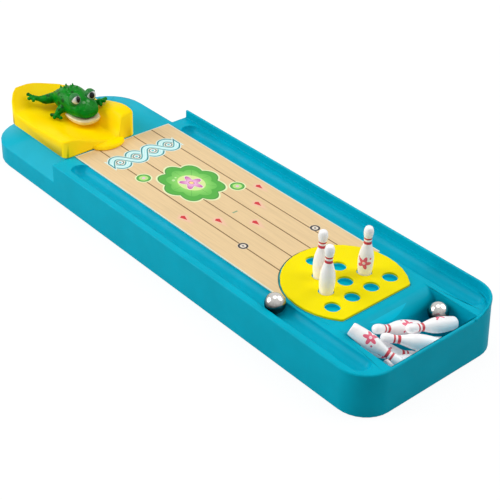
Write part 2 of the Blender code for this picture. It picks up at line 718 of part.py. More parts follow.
def make_balls(material):
    """Two steel balls: one in the near gutter and one on the heap in the bin."""
    radius = BALL_DIAMETER / 2
    profile = [(max(x, 0), z) for z, x in arc((0, 0), radius, 180, 0, ROUND_STEPS // 2)]
    profile[0] = (0, -radius)
    profile[-1] = (0, radius)
    gutter_ball = thing("ball_gutter", turned(profile, ROUND_STEPS), material)
    gutter_ball.location = (
        -GUTTER_CENTRE,
        PLATE_Y + GUTTER_BALL_FROM_PLATE,
        DECK_HEIGHT - GUTTER_DEPTH + radius + CLEARANCE,
    )
    bin_ball = bpy.data.objects.new("ball_bin", gutter_ball.data)
    bin_ball.location = heap_place(HEAP_BALL_SHARES)
    bpy.context.collection.objects.link(bin_ball)


def dish_height(x, y):
    """The height of the housing's top above its foot."""
    u = min(max((x - HOUSING_SIDE) / HOUSING_WIDTH, 0), 1)
    v = min(max((y - HOUSING_FRONT) / HOUSING_LENGTH, 0), 1)
    rows = [steady_curve(DISH_ACROSS_SHARES, row, u) for row in DISH_HEIGHT_SHARES]
    return HOUSING_HEIGHT * steady_curve(DISH_ALONG_SHARES, rows, v)


def housing_mesh():
    """The housing's sculpted top over straight sides and a flat foot."""
    stations = [HOUSING_FRONT_RADIUS * share for share in CORNER_STEP_SHARES]
    stations += [HOUSING_LENGTH * share for share in HOUSING_STATION_SHARES]
    stations += [HOUSING_LENGTH - HOUSING_REAR_RADIUS * share for share in reversed(CORNER_STEP_SHARES)]
    bm = bmesh.new()
    rows = []
    reach = HOUSING_RIM_ROUND
    for station in stations:
        y = HOUSING_FRONT + station
        inset = corner_inset(station)
        low = HOUSING_SIDE + inset
        high = HOUSING_SIDE + HOUSING_WIDTH - inset
        near_rim = [low + reach * share for share in RIM_SHARES]
        far_rim = [high - reach * share for share in reversed(RIM_SHARES)]
        inside = []
        for number, share in enumerate(HOUSING_ACROSS_SHARES, 1):
            least = near_rim[-1] + number * MERGE_ROOM
            most = far_rim[0] - (len(HOUSING_ACROSS_SHARES) + 1 - number) * MERGE_ROOM
            inside.append(min(max(HOUSING_SIDE + HOUSING_WIDTH * share, least), most))
        xs = near_rim + inside + far_rim
        ends = min(station, HOUSING_LENGTH - station)
        row = []
        for x in xs:
            margin = min(x - low, high - x, ends)
            short = 1 - min(margin / reach, 1)
            drop = reach * (1 - math.sqrt(1 - short * short))
            row.append(bm.verts.new((x, y, HOUSING_BOTTOM + dish_height(x, y) - drop)))
        rows.append(row)
    for before, after in zip(rows, rows[1:]):
        for i in range(len(before) - 1):
            bm.faces.new((before[i], before[i + 1], after[i + 1], after[i]))
    bmesh.ops.triangulate(bm, faces=bm.faces)
    rim = [edge for edge in bm.edges if edge.is_boundary]
    wall = bmesh.ops.extrude_edge_only(bm, edges=rim)["geom"]
    foot = [vert for vert in wall if isinstance(vert, bmesh.types.BMVert)]
    for vert in foot:
        vert.co.z = HOUSING_BOTTOM
    bmesh.ops.holes_fill(bm, edges=[edge for edge in bm.edges if edge.is_boundary])
    bmesh.ops.remove_doubles(bm, verts=bm.verts, dist=MERGE_DISTANCE)
    bmesh.ops.recalc_face_normals(bm, faces=bm.faces)
    return bm


def corner_inset(station):
    """How far the housing's side draws in, at a station from its front."""
    for radius, gone in ((HOUSING_FRONT_RADIUS, station), (HOUSING_REAR_RADIUS, HOUSING_LENGTH - station)):
        if gone < radius:
            return radius - math.sqrt(max(radius * radius - (radius - gone) ** 2, 0))
    return 0


def tongue_rings():
    """The tongue in front: half an ellipse in plan, thinned at its edge."""
    rings = []
    bottom = HOUSING_BOTTOM
    upper_edge = TONGUE_THICKNESS - TONGUE_EDGE
    levels = ((0, TONGUE_EDGE / 2), (TONGUE_EDGE, 0), (upper_edge, 0), (TONGUE_THICKNESS, TONGUE_EDGE))
    for height, inset in levels:
        half = TONGUE_WIDTH / 2 - inset
        reach = TONGUE_REACH - inset
        turn = arc((0, 0), 1, 180, 360, ROUND_STEPS)
        root = HOUSING_FRONT + TONGUE_ROOT
        ring = [(LAUNCH_LINE + half * c, HOUSING_FRONT + reach * s) for c, s in turn]
        ring += [(LAUNCH_LINE + half, root), (LAUNCH_LINE - half, root)]
        rings.append([(x, y, bottom + height) for x, y in ring])
    return rings


def base_outline(margin):
    """The closing plate under the housing."""
    low = (HOUSING_SIDE + BASE_MARGIN - margin, HOUSING_FRONT + BASE_FRONT_SHARE * HOUSING_LENGTH - margin)
    high = (
        HOUSING_SIDE + HOUSING_WIDTH - BASE_MARGIN + margin,
        HOUSING_FRONT + HOUSING_LENGTH - BASE_MARGIN + margin,
    )
    return rounded_outline(low, high, [BASE_CORNER + margin] * 4)


def housing_screw_places():
    """The four screws near the corners of the closing plate."""
    low_x = HOUSING_SIDE + BASE_MARGIN + SCREW_MARGIN
    high_x = HOUSING_SIDE + HOUSING_WIDTH - BASE_MARGIN - SCREW_MARGIN
    low_y = HOUSING_FRONT + BASE_FRONT_SHARE * HOUSING_LENGTH + SCREW_MARGIN
    high_y = HOUSING_FRONT + HOUSING_LENGTH - BASE_MARGIN - SCREW_MARGIN
    return [(x, y) for y in (low_y, high_y) for x in (low_x, high_x)]


def screw_mesh(length, margin=0, top_margin=0):
    """A screw with its head down, or with a margin the hole that takes it."""
    head = SCREW_HEAD_RADIUS + margin
    shank = SCREW_RADIUS + margin
    low = -margin * 4
    shoulder = SCREW_HEAD_HEIGHT + margin
    end = length + top_margin
    profile = ((0, low), (head, low), (head, shoulder), (shank, shoulder), (shank, end), (0, end))
    return turned(profile, SMALL_STEPS)


def make_housing(material):
    """The launcher housing, hollowed below for its closing plate, with a window and ears for the rocker."""
    housing = thing("launcher_housing", housing_mesh(), material)
    combine(housing, "join_tongue", loft(tongue_rings()), "UNION")
    ears = moved(rod(PIVOT_EAR_RADIUS, PIVOT_PIN_LENGTH + 2 * TRAY_WALL, ROUND_STEPS), turn=(0, 90, 0))
    start = PIVOT - Vector((PIVOT_PIN_LENGTH / 2 + TRAY_WALL, 0, 0))
    combine(housing, "join_pivot_ears", moved(ears, start), "UNION")
    recess_top = BASE_TOP + CLEARANCE
    recess = upright(base_outline(CLEARANCE), HOUSING_BOTTOM - CUT_OVERRUN, recess_top)
    combine(housing, "cut_base_recess", recess)
    half = ROCKER_WIDTH / 2 + WINDOW_SIDE_ROOM
    window = block(
        (LAUNCH_LINE - half, PIVOT.y - ROCKER_FRONT - WINDOW_END_ROOM, recess_top - CUT_OVERRUN / 2),
        (LAUNCH_LINE + half, PIVOT.y + ROCKER_REAR + WINDOW_END_ROOM, HOUSING_BOTTOM + HOUSING_HEIGHT),
    )
    combine(housing, "cut_rocker_window", window)
    bore_length = PIVOT_PIN_LENGTH + 2 * CLEARANCE
    bore = moved(rod(PIVOT_PIN_RADIUS + CLEARANCE, bore_length), turn=(0, 90, 0))
    combine(housing, "cut_pivot_bore", moved(bore, PIVOT - Vector((bore_length / 2, 0, 0))))
    for number, (x, y) in enumerate(housing_screw_places(), 1):
        cutter = screw_mesh(HOUSING_SCREW_LENGTH, CLEARANCE, CLEARANCE)
        hole = moved(cutter, (x, y, HOUSING_BOTTOM + CLEARANCE))
        combine(housing, f"cut_screw_{number}", hole)
    return housing


def make_slide(plate_finish, screw_finish):
    """The closing plate with its stem, the shoe under the deck, and the screws that hold them."""
    origin = (STEM_X, STEM_Y, HOUSING_BOTTOM)
    base = thing("launcher_base", upright(base_outline(0), HOUSING_BOTTOM, BASE_TOP), plate_finish, origin)
    stem_low = DECK_HEIGHT - TRAY_WALL
    stem_outline = rounded_outline(
        (STEM_X - STEM_LENGTH / 2, STEM_Y - STEM_WIDTH / 2),
        (STEM_X + STEM_LENGTH / 2, STEM_Y + STEM_WIDTH / 2),
        [STEM_WIDTH / 8] * 4,
    )
    combine(base, "join_stem", upright(stem_outline, stem_low, BASE_TOP - CLEARANCE), "UNION")
    for number, (x, y) in enumerate(housing_screw_places(), 1):
        low = HOUSING_BOTTOM + CLEARANCE
        hole = moved(screw_mesh(HOUSING_SCREW_LENGTH, CLEARANCE, CLEARANCE), (x, y, low))
        combine(base, f"cut_base_screw_{number}", hole)
        place = (x, y, low)
        thing(f"housing_screw_{number}", moved(screw_mesh(HOUSING_SCREW_LENGTH), place), screw_finish, place)

    shoe_top = stem_low - CLEARANCE
    shoe_outline = rounded_outline(
        (STEM_X - SHOE_LENGTH / 2, STEM_Y - SHOE_WIDTH / 2),
        (STEM_X + SHOE_LENGTH / 2, STEM_Y + SHOE_WIDTH / 2),
        [SHOE_WIDTH / 6] * 4,
    )
    shoe_mesh = upright(shoe_outline, shoe_top - SHOE_THICKNESS, shoe_top)
    shoe = thing("slide_shoe", shoe_mesh, plate_finish, (STEM_X, STEM_Y, shoe_top))
    screw_low = shoe_top - SHOE_THICKNESS - SCREW_HEAD_HEIGHT - CLEARANCE
    place = (STEM_X, STEM_Y, screw_low)
    thing("slide_screw", moved(screw_mesh(SHOE_SCREW_LENGTH + SHOE_THICKNESS), place), screw_finish, place)
    hole = moved(rod(SCREW_RADIUS + CLEARANCE, SHOE_SCREW_LENGTH + SHOE_THICKNESS + CLEARANCE), place)
    combine(base, "cut_stem_screw", hole)
    hole = moved(rod(SCREW_RADIUS + CLEARANCE, SHOE_SCREW_LENGTH + SHOE_THICKNESS + CLEARANCE), place)
    combine(shoe, "cut_shoe_screw", hole)


def make_rocker(plastic, steel):
    """The rocker on its cross pin, its return spring and the screw up into the figure."""
    bottom = DECK_HEIGHT + ROCKER_BOTTOM
    half = ROCKER_WIDTH / 2
    low = (LAUNCH_LINE - half, PIVOT.y - ROCKER_FRONT)
    high = (LAUNCH_LINE + half, PIVOT.y + ROCKER_REAR)
    outline = rounded_outline(low, high, [half / 3] * 4)
    rocker = thing("rocker", upright(outline, bottom, bottom + ROCKER_THICKNESS), plastic, PIVOT)
    barrel = moved(rod(ROCKER_BARREL_RADIUS, ROCKER_WIDTH - CLEARANCE, ROUND_STEPS), turn=(0, 90, 0))
    barrel_start = PIVOT - Vector(((ROCKER_WIDTH - CLEARANCE) / 2, 0, 0))
    combine(rocker, "join_barrel", moved(barrel, barrel_start), "UNION")
    post_place = (LAUNCH_LINE, PIVOT.y - ROCKER_POST_FROM_PIVOT, bottom)
    post = moved(rod(ROCKER_POST_RADIUS, ROCKER_THICKNESS + ROCKER_POST_HEIGHT, ROUND_STEPS), post_place)
    combine(rocker, "join_post", post, "UNION")
    bore = moved(rod(PIVOT_PIN_RADIUS + CLEARANCE, ROCKER_WIDTH + 2 * CUT_OVERRUN), turn=(0, 90, 0))
    combine(rocker, "cut_barrel_bore", moved(bore, PIVOT - Vector((half + CUT_OVERRUN, 0, 0))))
    screw_low = bottom - SCREW_HEAD_HEIGHT - CLEARANCE
    screw_place = (post_place[0], post_place[1], screw_low)
    hole_length = FIGURE_SCREW_LENGTH + CLEARANCE
    combine(rocker, "cut_post_bore", moved(rod(SCREW_RADIUS + CLEARANCE, hole_length), screw_place))
    thing("figure_screw", moved(screw_mesh(FIGURE_SCREW_LENGTH), screw_place), steel, screw_place)

    pin = moved(rod(PIVOT_PIN_RADIUS, PIVOT_PIN_LENGTH), turn=(0, 90, 0))
    thing("rocker_pin", moved(pin, PIVOT - Vector((PIVOT_PIN_LENGTH / 2, 0, 0))), steel, PIVOT)
    make_spring(steel, bottom)


def make_spring(steel, rocker_bottom):
    """The return spring: one open coil between the closing plate and the rocker's tail."""
    low = BASE_TOP + CLEARANCE + SPRING_WIRE
    high = rocker_bottom - CLEARANCE - SPRING_WIRE
    pitch = (high - low) / SPRING_TURNS
    points_per_turn = 10
    count = round(SPRING_TURNS * points_per_turn)
    centre = Vector((LAUNCH_LINE, PIVOT.y + SPRING_FROM_PIVOT, 0))
    points = []
    for i in range(count + 1):
        angle = math.tau * i / points_per_turn
        height = low + (high - low) * i / count
        across = SPRING_RADIUS * math.cos(angle)
        points.append(centre + Vector((across, SPRING_RADIUS * math.sin(angle), height)))
    print("return spring: least gap to itself", round((pitch - 2 * SPRING_WIRE) * 1000, 3), "mm")
    curve = bpy.data.curves.new("return_spring", "CURVE")
    curve.dimensions = "3D"
    curve.bevel_depth = SPRING_WIRE
    curve.bevel_resolution = 1
    curve.use_fill_caps = True
    spline = curve.splines.new("POLY")
    spline.points.add(len(points) - 1)
    for point, target in zip(points, spline.points):
        target.co = (*point, 1)
    curve.materials.append(steel)
    spring = bpy.data.objects.new("return_spring", curve)
    bpy.context.collection.objects.link(spring)


def figure_rings(table):
    """Sections of one piece of the figure from front to rear."""
    rings = []
    for share, wide, top, bottom in table:
        y = FIGURE_FRONT + share * FIGURE_LENGTH
        high = DECK_HEIGHT + top * FIGURE_HEIGHT
        low = DECK_HEIGHT + bottom * FIGURE_HEIGHT
        ring = []
        for step in range(ROUND_STEPS):
            angle = math.tau * step / ROUND_STEPS
            c, s = math.cos(angle), math.sin(angle)
            x = math.copysign(abs(c) ** SECTION_SQUARE_SHARE, c) * wide * FIGURE_WIDTH / 2
            z = (high + low) / 2 + math.copysign(abs(s) ** SECTION_SQUARE_SHARE, s) * (high - low) / 2
            ring.append((LAUNCH_LINE + x, y, z))
        rings.append(ring)
    return rings


def limb(name, chain, toes):
    """A leg grown round its bones, with three toes."""
    bm = bmesh.new()
    radii = []

    def joint(entry):
        length, wide, high, thick = entry
        x = LAUNCH_LINE + wide * FIGURE_WIDTH
        y = FIGURE_FRONT + length * FIGURE_LENGTH
        radius = thick * FIGURE_WIDTH / 2
        fall = max(y + radius - PIVOT.y, 0) * math.tan(ROCK_ANGLE)
        under = max(dish_height(x, y + reach) for reach in (-radius, 0, radius))
        ground = HOUSING_BOTTOM + under + LIMB_ROOM + fall + radius
        radii.append(radius)
        return bm.verts.new((x, y, max(DECK_HEIGHT + high * FIGURE_HEIGHT, ground)))

    bones = [joint(entry) for entry in chain]
    for a, b in zip(bones, bones[1:]):
        bm.edges.new((a, b))
    for toe in toes:
        bm.edges.new((bones[-1], joint(toe)))
    made = thing(name, bm)
    made.modifiers.new("Skin", "SKIN")
    for entry, radius in zip(made.data.skin_vertices[0].data, radii):
        entry.radius = (radius, radius)
    made.data.skin_vertices[0].data[0].use_root = True
    smooth = made.modifiers.new("Smooth", "SUBSURF")
    smooth.levels = 1
    smooth.render_levels = 1
    return made


def make_figure(green, cream, white):
    """The figure: a green back with legs and a crest, a pale jaw and belly, and two eyes."""
    body = thing("figure_body", loft(figure_rings(BODY_SECTION_SHARES)), green, PIVOT)
    for name, (chain, toes) in LIMB_SHARES.items():
        tool = limb(f"join_{name}", chain, toes)
        modifier = body.modifiers.new(tool.name, "BOOLEAN")
        modifier.operation = "UNION"
        modifier.solver = "EXACT"
        modifier.object = tool
    for number, (share, wide) in enumerate(CREST_SHARES, 1):
        top = crest_height(share, wide)
        x = LAUNCH_LINE + wide * FIGURE_WIDTH / 2
        place = (x, FIGURE_FRONT + share * FIGURE_LENGTH, top - CREST_HEIGHT / 2)
        tip = CREST_RADIUS * CREST_TIP_SHARE
        point = turned(((0, 0), (CREST_RADIUS, 0), (tip, CREST_HEIGHT), (0, CREST_HEIGHT)), SMALL_STEPS)
        combine(body, f"join_crest_{number}", moved(point, place), "UNION")

    jaw = thing("figure_jaw", loft(figure_rings(JAW_SECTION_SHARES)), cream, PIVOT)
    combine(body, "cut_jaw_room", mouth_wedge(CLEARANCE / 2))
    combine(jaw, "keep_jaw", mouth_wedge(-CLEARANCE / 2), "INTERSECT")

    screw_low = DECK_HEIGHT + ROCKER_BOTTOM - SCREW_HEAD_HEIGHT - CLEARANCE
    place = (LAUNCH_LINE, PIVOT.y - ROCKER_POST_FROM_PIVOT, screw_low)
    hole_length = FIGURE_SCREW_LENGTH + CLEARANCE
    combine(body, "cut_body_screw", moved(rod(SCREW_RADIUS + CLEARANCE, hole_length), place))
    seat = DECK_HEIGHT + ROCKER_BOTTOM + ROCKER_THICKNESS + ROCKER_POST_HEIGHT + CLEARANCE
    flat = block(
        (LAUNCH_LINE - FIGURE_WIDTH, PIVOT.y - ROCKER_FRONT, DECK_HEIGHT),
        (LAUNCH_LINE + FIGURE_WIDTH, PIVOT.y + FIGURE_LENGTH, seat),
    )
    combine(body, "cut_seat", flat)

    eye_profile = [(max(x, 0), z) for z, x in arc((0, 0), EYE_RADIUS, 180, 0, SMALL_STEPS)]
    eye_profile[0] = (0, -EYE_RADIUS)
    eye_profile[-1] = (0, EYE_RADIUS)
    socket_profile = [(max(x, 0), z) for z, x in arc((0, 0), EYE_RADIUS + CLEARANCE, 180, 0, SMALL_STEPS)]
    socket_profile[0] = (0, -EYE_RADIUS - CLEARANCE)
    socket_profile[-1] = (0, EYE_RADIUS + CLEARANCE)
    for side, word in ((-1, "near"), (1, "far")):
        place = (LAUNCH_LINE + side * EYE_SPREAD, EYE_Y, DECK_HEIGHT + EYE_HEIGHT)
        combine(body, f"cut_{word}_socket", moved(turned(socket_profile, SMALL_STEPS + 4), place))
        thing(f"eye_{word}", moved(turned(eye_profile, SMALL_STEPS + 4), place), white, place)


def mouth_wedge(gap):
    """The room of the lower jaw: below the mouth line and in front of the chest."""
    line = DECK_HEIGHT + MOUTH_HEIGHT + gap
    chest = PIVOT.y - ROCKER_FRONT + gap
    front = FIGURE_FRONT - CUT_OVERRUN
    outline = ((front, DECK_HEIGHT), (chest, DECK_HEIGHT), (chest, line - MOUTH_DROP), (front, line))
    return across(outline, LAUNCH_LINE - FIGURE_WIDTH, LAUNCH_LINE + FIGURE_WIDTH)


def crest_height(share, wide):
    """The height of the back at one place."""
    places = [row[0] for row in BODY_SECTION_SHARES]
    top = steady_curve(places, [row[2] for row in BODY_SECTION_SHARES], share)
    bottom = steady_curve(places, [row[3] for row in BODY_SECTION_SHARES], share)
    half = steady_curve(places, [row[1] for row in BODY_SECTION_SHARES], share)
    reach = min(abs(wide) / half, 1) ** (1 / SECTION_SQUARE_SHARE)
    middle = (top + bottom) / 2
    rise = (1 - reach * reach) ** (SECTION_SQUARE_SHARE / 2)
    return DECK_HEIGHT + FIGURE_HEIGHT * (middle + (top - middle) * rise)


def main():
    for old in list(bpy.data.objects):
        bpy.data.objects.remove(old)
    blue = finish("tray_blue", (0.0, 0.50, 0.665), 0.32)
    lane = finish("lane_print", (0.79, 0.60, 0.35), 0.45)
    yellow = finish("launcher_yellow", (1.0, 0.80, 0.0), 0.30)
    plate = finish("plate_yellow", (1.0, 0.84, 0.012), 0.30)
    white = finish("pin_white", (0.88, 0.86, 0.88), 0.28)
    chrome = finish("ball_steel", (0.80, 0.80, 0.82), 0.06, 1.0)
    green = finish("figure_green", (0.0, 0.16, 0.012), 0.22)
    cream = finish("figure_cream", (0.80, 0.74, 0.58), 0.35)
    eyes = finish("eye_white", (0.85, 0.85, 0.84), 0.18)
    steel = finish("screw_steel", (0.45, 0.45, 0.47), 0.35, 1.0)
    make_tray(blue)
    make_lane_sheet(lane)
    make_pin_plate(plate)
    make_pins(white)
    make_balls(chrome)
    make_housing(yellow)
    make_slide(yellow, steel)
    make_rocker(yellow, steel)
    make_figure(green, cream, eyes)


main()
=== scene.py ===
"""The finished look of a tabletop bowling game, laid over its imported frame.

Each operator makes one piece or a group of like pieces, and the last one sets the stage.
"""

import math

import bmesh
import bpy
import numpy as np
from mathutils import Matrix, Vector
from mathutils.bvhtree import BVHTree


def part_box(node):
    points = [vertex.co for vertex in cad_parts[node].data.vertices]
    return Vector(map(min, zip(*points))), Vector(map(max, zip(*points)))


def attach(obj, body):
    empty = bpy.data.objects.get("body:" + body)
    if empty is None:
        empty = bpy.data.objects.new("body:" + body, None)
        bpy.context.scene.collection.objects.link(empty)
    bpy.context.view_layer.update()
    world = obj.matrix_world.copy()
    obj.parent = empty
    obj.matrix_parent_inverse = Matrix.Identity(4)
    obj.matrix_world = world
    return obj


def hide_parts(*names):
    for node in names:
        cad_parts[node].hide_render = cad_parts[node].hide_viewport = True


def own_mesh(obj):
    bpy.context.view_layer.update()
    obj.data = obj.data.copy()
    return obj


bl_info = {
    "name": "Tabletop bowling game",
    "version": (1, 0, 0),
    "blender": (4, 5, 0),
    "location": "View3D > Sidebar > Bowling",
    "description": "Dresses a tabletop bowling game with its finished pieces, prints and surfaces",
    "category": "Object",
}

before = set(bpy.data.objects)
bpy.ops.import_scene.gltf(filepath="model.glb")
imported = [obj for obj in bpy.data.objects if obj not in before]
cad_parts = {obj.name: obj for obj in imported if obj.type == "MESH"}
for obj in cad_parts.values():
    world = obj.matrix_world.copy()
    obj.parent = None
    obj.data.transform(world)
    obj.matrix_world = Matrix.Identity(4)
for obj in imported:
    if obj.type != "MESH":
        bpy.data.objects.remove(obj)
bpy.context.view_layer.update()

MM = 0.001
LANE_LOW, LANE_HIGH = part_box("lane_sheet")
WELD = 0.00003
# Edges sharper than this are bevelled, in degrees
BEVEL_FROM = 38
# How much each kind of surface reflects, as a share of twice the usual amount
PLASTIC_SHINE, PRINT_SHINE, SKIN_SHINE, EYE_SHINE = 0.06, 0.2, 0.11, 0.25
PLASTIC_IOR = 1.45
# Ink that edges the printed ribbons and discs
INK = (0, 122, 132)
# Pins: the red bands' middles and half widths in millimetres, how much painted light the pins give off in
# their own colours, and how far each pin's motif is turned from the camera in degrees
PIN_BANDS = ((21.1, 0.78), (23.5, 0.52))
PIN_PAINTED_LIGHT = 0.10
PIN_TURNS = (165, 190, -12, 18, 95, 20, -25, 150, 30, 110)

# A pin's outline from foot to crown, as shares of its radius and its height
PIN_OUTLINE_SHARES = (
    (0.74, 0), (0.82, 0.015), (0.90, 0.12), (0.98, 0.24), (1.00, 0.33), (0.94, 0.43), (0.79, 0.53),
    (0.61, 0.62), (0.51, 0.69), (0.50, 0.76), (0.58, 0.83), (0.62, 0.89), (0.55, 0.95), (0.33, 0.99), (0, 1),
)

# Sections of the figure's head and body, then of its jaw: place along it, half width, top and bottom
BODY_SECTION_SHARES = (
    (0.06, 0.32, 0.59, 0.498), (0.08, 0.60, 0.68, 0.456), (0.13, 0.77, 0.77, 0.439),
    (0.20, 0.89, 0.84, 0.414), (0.29, 0.96, 0.89, 0.354), (0.39, 0.95, 0.93, 0.321),
    (0.49, 0.97, 0.98, 0.304), (0.59, 1.00, 1.00, 0.312), (0.70, 1.00, 0.97, 0.338),
    (0.80, 0.95, 0.89, 0.38), (0.90, 0.80, 0.80, 0.456), (0.96, 0.56, 0.72, 0.532),
    (1.00, 0.26, 0.66, 0.599),
)
JAW_SECTION_SHARES = (
    (0.02, 0.32, 0.44, 0.35), (0.04, 0.56, 0.49, 0.30), (0.09, 0.77, 0.49, 0.265),
    (0.17, 0.89, 0.49, 0.245), (0.29, 0.95, 0.49, 0.24), (0.37, 0.95, 0.49, 0.25),
    (0.45, 0.90, 0.49, 0.265),
)

# The legs as bones, from the body to the foot and then its toes: place along the figure, across it,
# height and thickness, as shares
LIMB_SHARES = {
    "near_arm": (
        ((0.54, -0.34, 0.55, 0.28), (0.57, -0.52, 0.49, 0.20), (0.55, -0.66, 0.41, 0.15),
         (0.52, -0.74, 0.36, 0.15)),
        ((0.60, -0.84, 0.35, 0.10), (0.49, -0.87, 0.35, 0.10), (0.44, -0.67, 0.34, 0.10)),
    ),
    "far_arm": (
        ((0.45, 0.34, 0.55, 0.28), (0.39, 0.48, 0.57, 0.19), (0.33, 0.60, 0.58, 0.15),
         (0.29, 0.67, 0.58, 0.15)),
        ((0.28, 0.90, 0.57, 0.10), (0.22, 0.76, 0.56, 0.10), (0.23, 0.62, 0.55, 0.10)),
    ),
    "near_leg": (
        ((0.87, -0.27, 0.49, 0.34), (0.89, -0.64, 0.54, 0.29), (0.95, -0.80, 0.62, 0.16),
         (0.99, -0.96, 0.67, 0.15)),
        ((1.09, -1.07, 0.70, 0.10), (1.00, -1.16, 0.68, 0.10), (0.93, -1.07, 0.65, 0.10)),
    ),
    "far_leg": (
        ((0.85, 0.24, 0.49, 0.32), (0.80, 0.46, 0.51, 0.26), (0.72, 0.58, 0.49, 0.16),
         (0.68, 0.65, 0.48, 0.15)),
        ((0.70, 0.81, 0.48, 0.10), (0.62, 0.79, 0.47, 0.10), (0.60, 0.66, 0.46, 0.10)),
    ),
}

# The crest: small points along the back, at shares of the figure's length and half width
CREST_SHARES = (
    (0.55, 0.30), (0.56, -0.28), (0.61, 0), (0.67, 0.28),
    (0.68, -0.30), (0.74, 0), (0.82, 0.16), (0.84, -0.16),
)

# Points round each section and how square the ovals are, then the sections along the body and the jaw
SECTION_POINTS, OVAL_POWER = 48, 0.85
BODY_SECTIONS, JAW_SECTIONS = 48, 40
# Limbs are a little stouter than in the solids and lie this far over the dish; toes are drawn in
ARM_STOUT, LEG_STOUT, TOE_STOUT = 1.3, 1.12, 1.2
TOE_REACH = 0.92
LIMB_GAP = 0.0009
# Balls that swell the lids: place from the eye's middle, and radius
LIDS = (((0, 0.0009, 0.0003), 0.00335), ((0, 0.0013, -0.0014), 0.0036))
# A nostril's place across, along and over the deck, and its radius
NOSTRIL_PLACE = (0.0015, 0.0078, 0.0193)
NOSTRIL_RADIUS = 0.0009
GAZES = {"near": (0.20, -0.93, 0.30), "far": (-0.30, -0.92, 0.24)}
# A crest point: how deep it is rooted, its radius at the foot, its rise and its radius at the tip
SPIKE_SINK, SPIKE_FOOT, SPIKE_RISE, SPIKE_TIP = 0.0007, 0.0011, 0.0021, 0.0003
# The jaw's rim is drawn in to this share of its width
RIM_SHARE = 0.93
# Warts: radius, the share of the height they start at, the skin's unevenness, and the seed
WART_RADIUS, WARTS_FROM, UNEVENNESS, WART_SEED = 0.00034, 0.62, 0.00022, 7

# Each lamp's name, place, width and power
LAMPS = (
    ("left_light", (-0.72, 0.66, 0.52), 0.8, 7.5),
    ("right_light", (0.66, -0.39, 0.77), 0.9, 4.4),
    ("top_light", (0.05, 0.10, 1.15), 0.7, 2.7),
)
# The sky's light, the floor's grey, and how bright and how far the camera sees the floor glow
SKY_LIGHT, FLOOR_GREY, FLOOR_GLOW, FLOOR_SEEN = 0.33, 0.45, 1.25, 0.72


def srgb(red, green, blue):
    """A linear colour from the 0 to 255 values of a screen colour."""
    def linear(value):
        share = value / 255
        return share / 12.92 if share <= 0.04045 else ((share + 0.055) / 1.055) ** 2.4

    return (linear(red), linear(green), linear(blue))


def operation(name, swapped=False):
    """A method that puts a wire and other values through one kind of arithmetic."""
    def method(self, *others):
        values = (*others, self) if swapped else (self, *others)
        return self.finish.node("ShaderNodeMath", {"operation": name}, *values)

    return method


class Wire:
    """A shader value that can stand in sums and products."""

    __add__ = __radd__ = operation("ADD")
    __sub__ = operation("SUBTRACT")
    __rsub__ = operation("SUBTRACT", swapped=True)
    __mul__ = __rmul__ = operation("MULTIPLY")
    __truediv__ = operation("DIVIDE")
    __rtruediv__ = operation("DIVIDE", swapped=True)
    __mod__ = operation("FLOORED_MODULO")
    __abs__ = operation("ABSOLUTE")
    least = operation("MINIMUM")
    most = operation("MAXIMUM")
    cos = operation("COSINE")
    sin = operation("SINE")
    root = operation("SQRT")
    # In radians, from this value and the one across it
    angle = operation("ARCTAN2")

    def __init__(self, finish, socket):
        self.finish = finish
        self.socket = socket

    def __neg__(self):
        return self * -1

    def rise(self, low, high):
        """A soft step from 0 at low to 1 at high."""
        settings = {"interpolation_type": "SMOOTHSTEP"}
        return self.finish.node("ShaderNodeMapRange", settings, self, low, high, 0.0, 1.0)

    def inside(self, soft=0.12):
        """1 where a signed distance is below zero, with a soft edge."""
        return 1 - self.rise(-soft, soft)


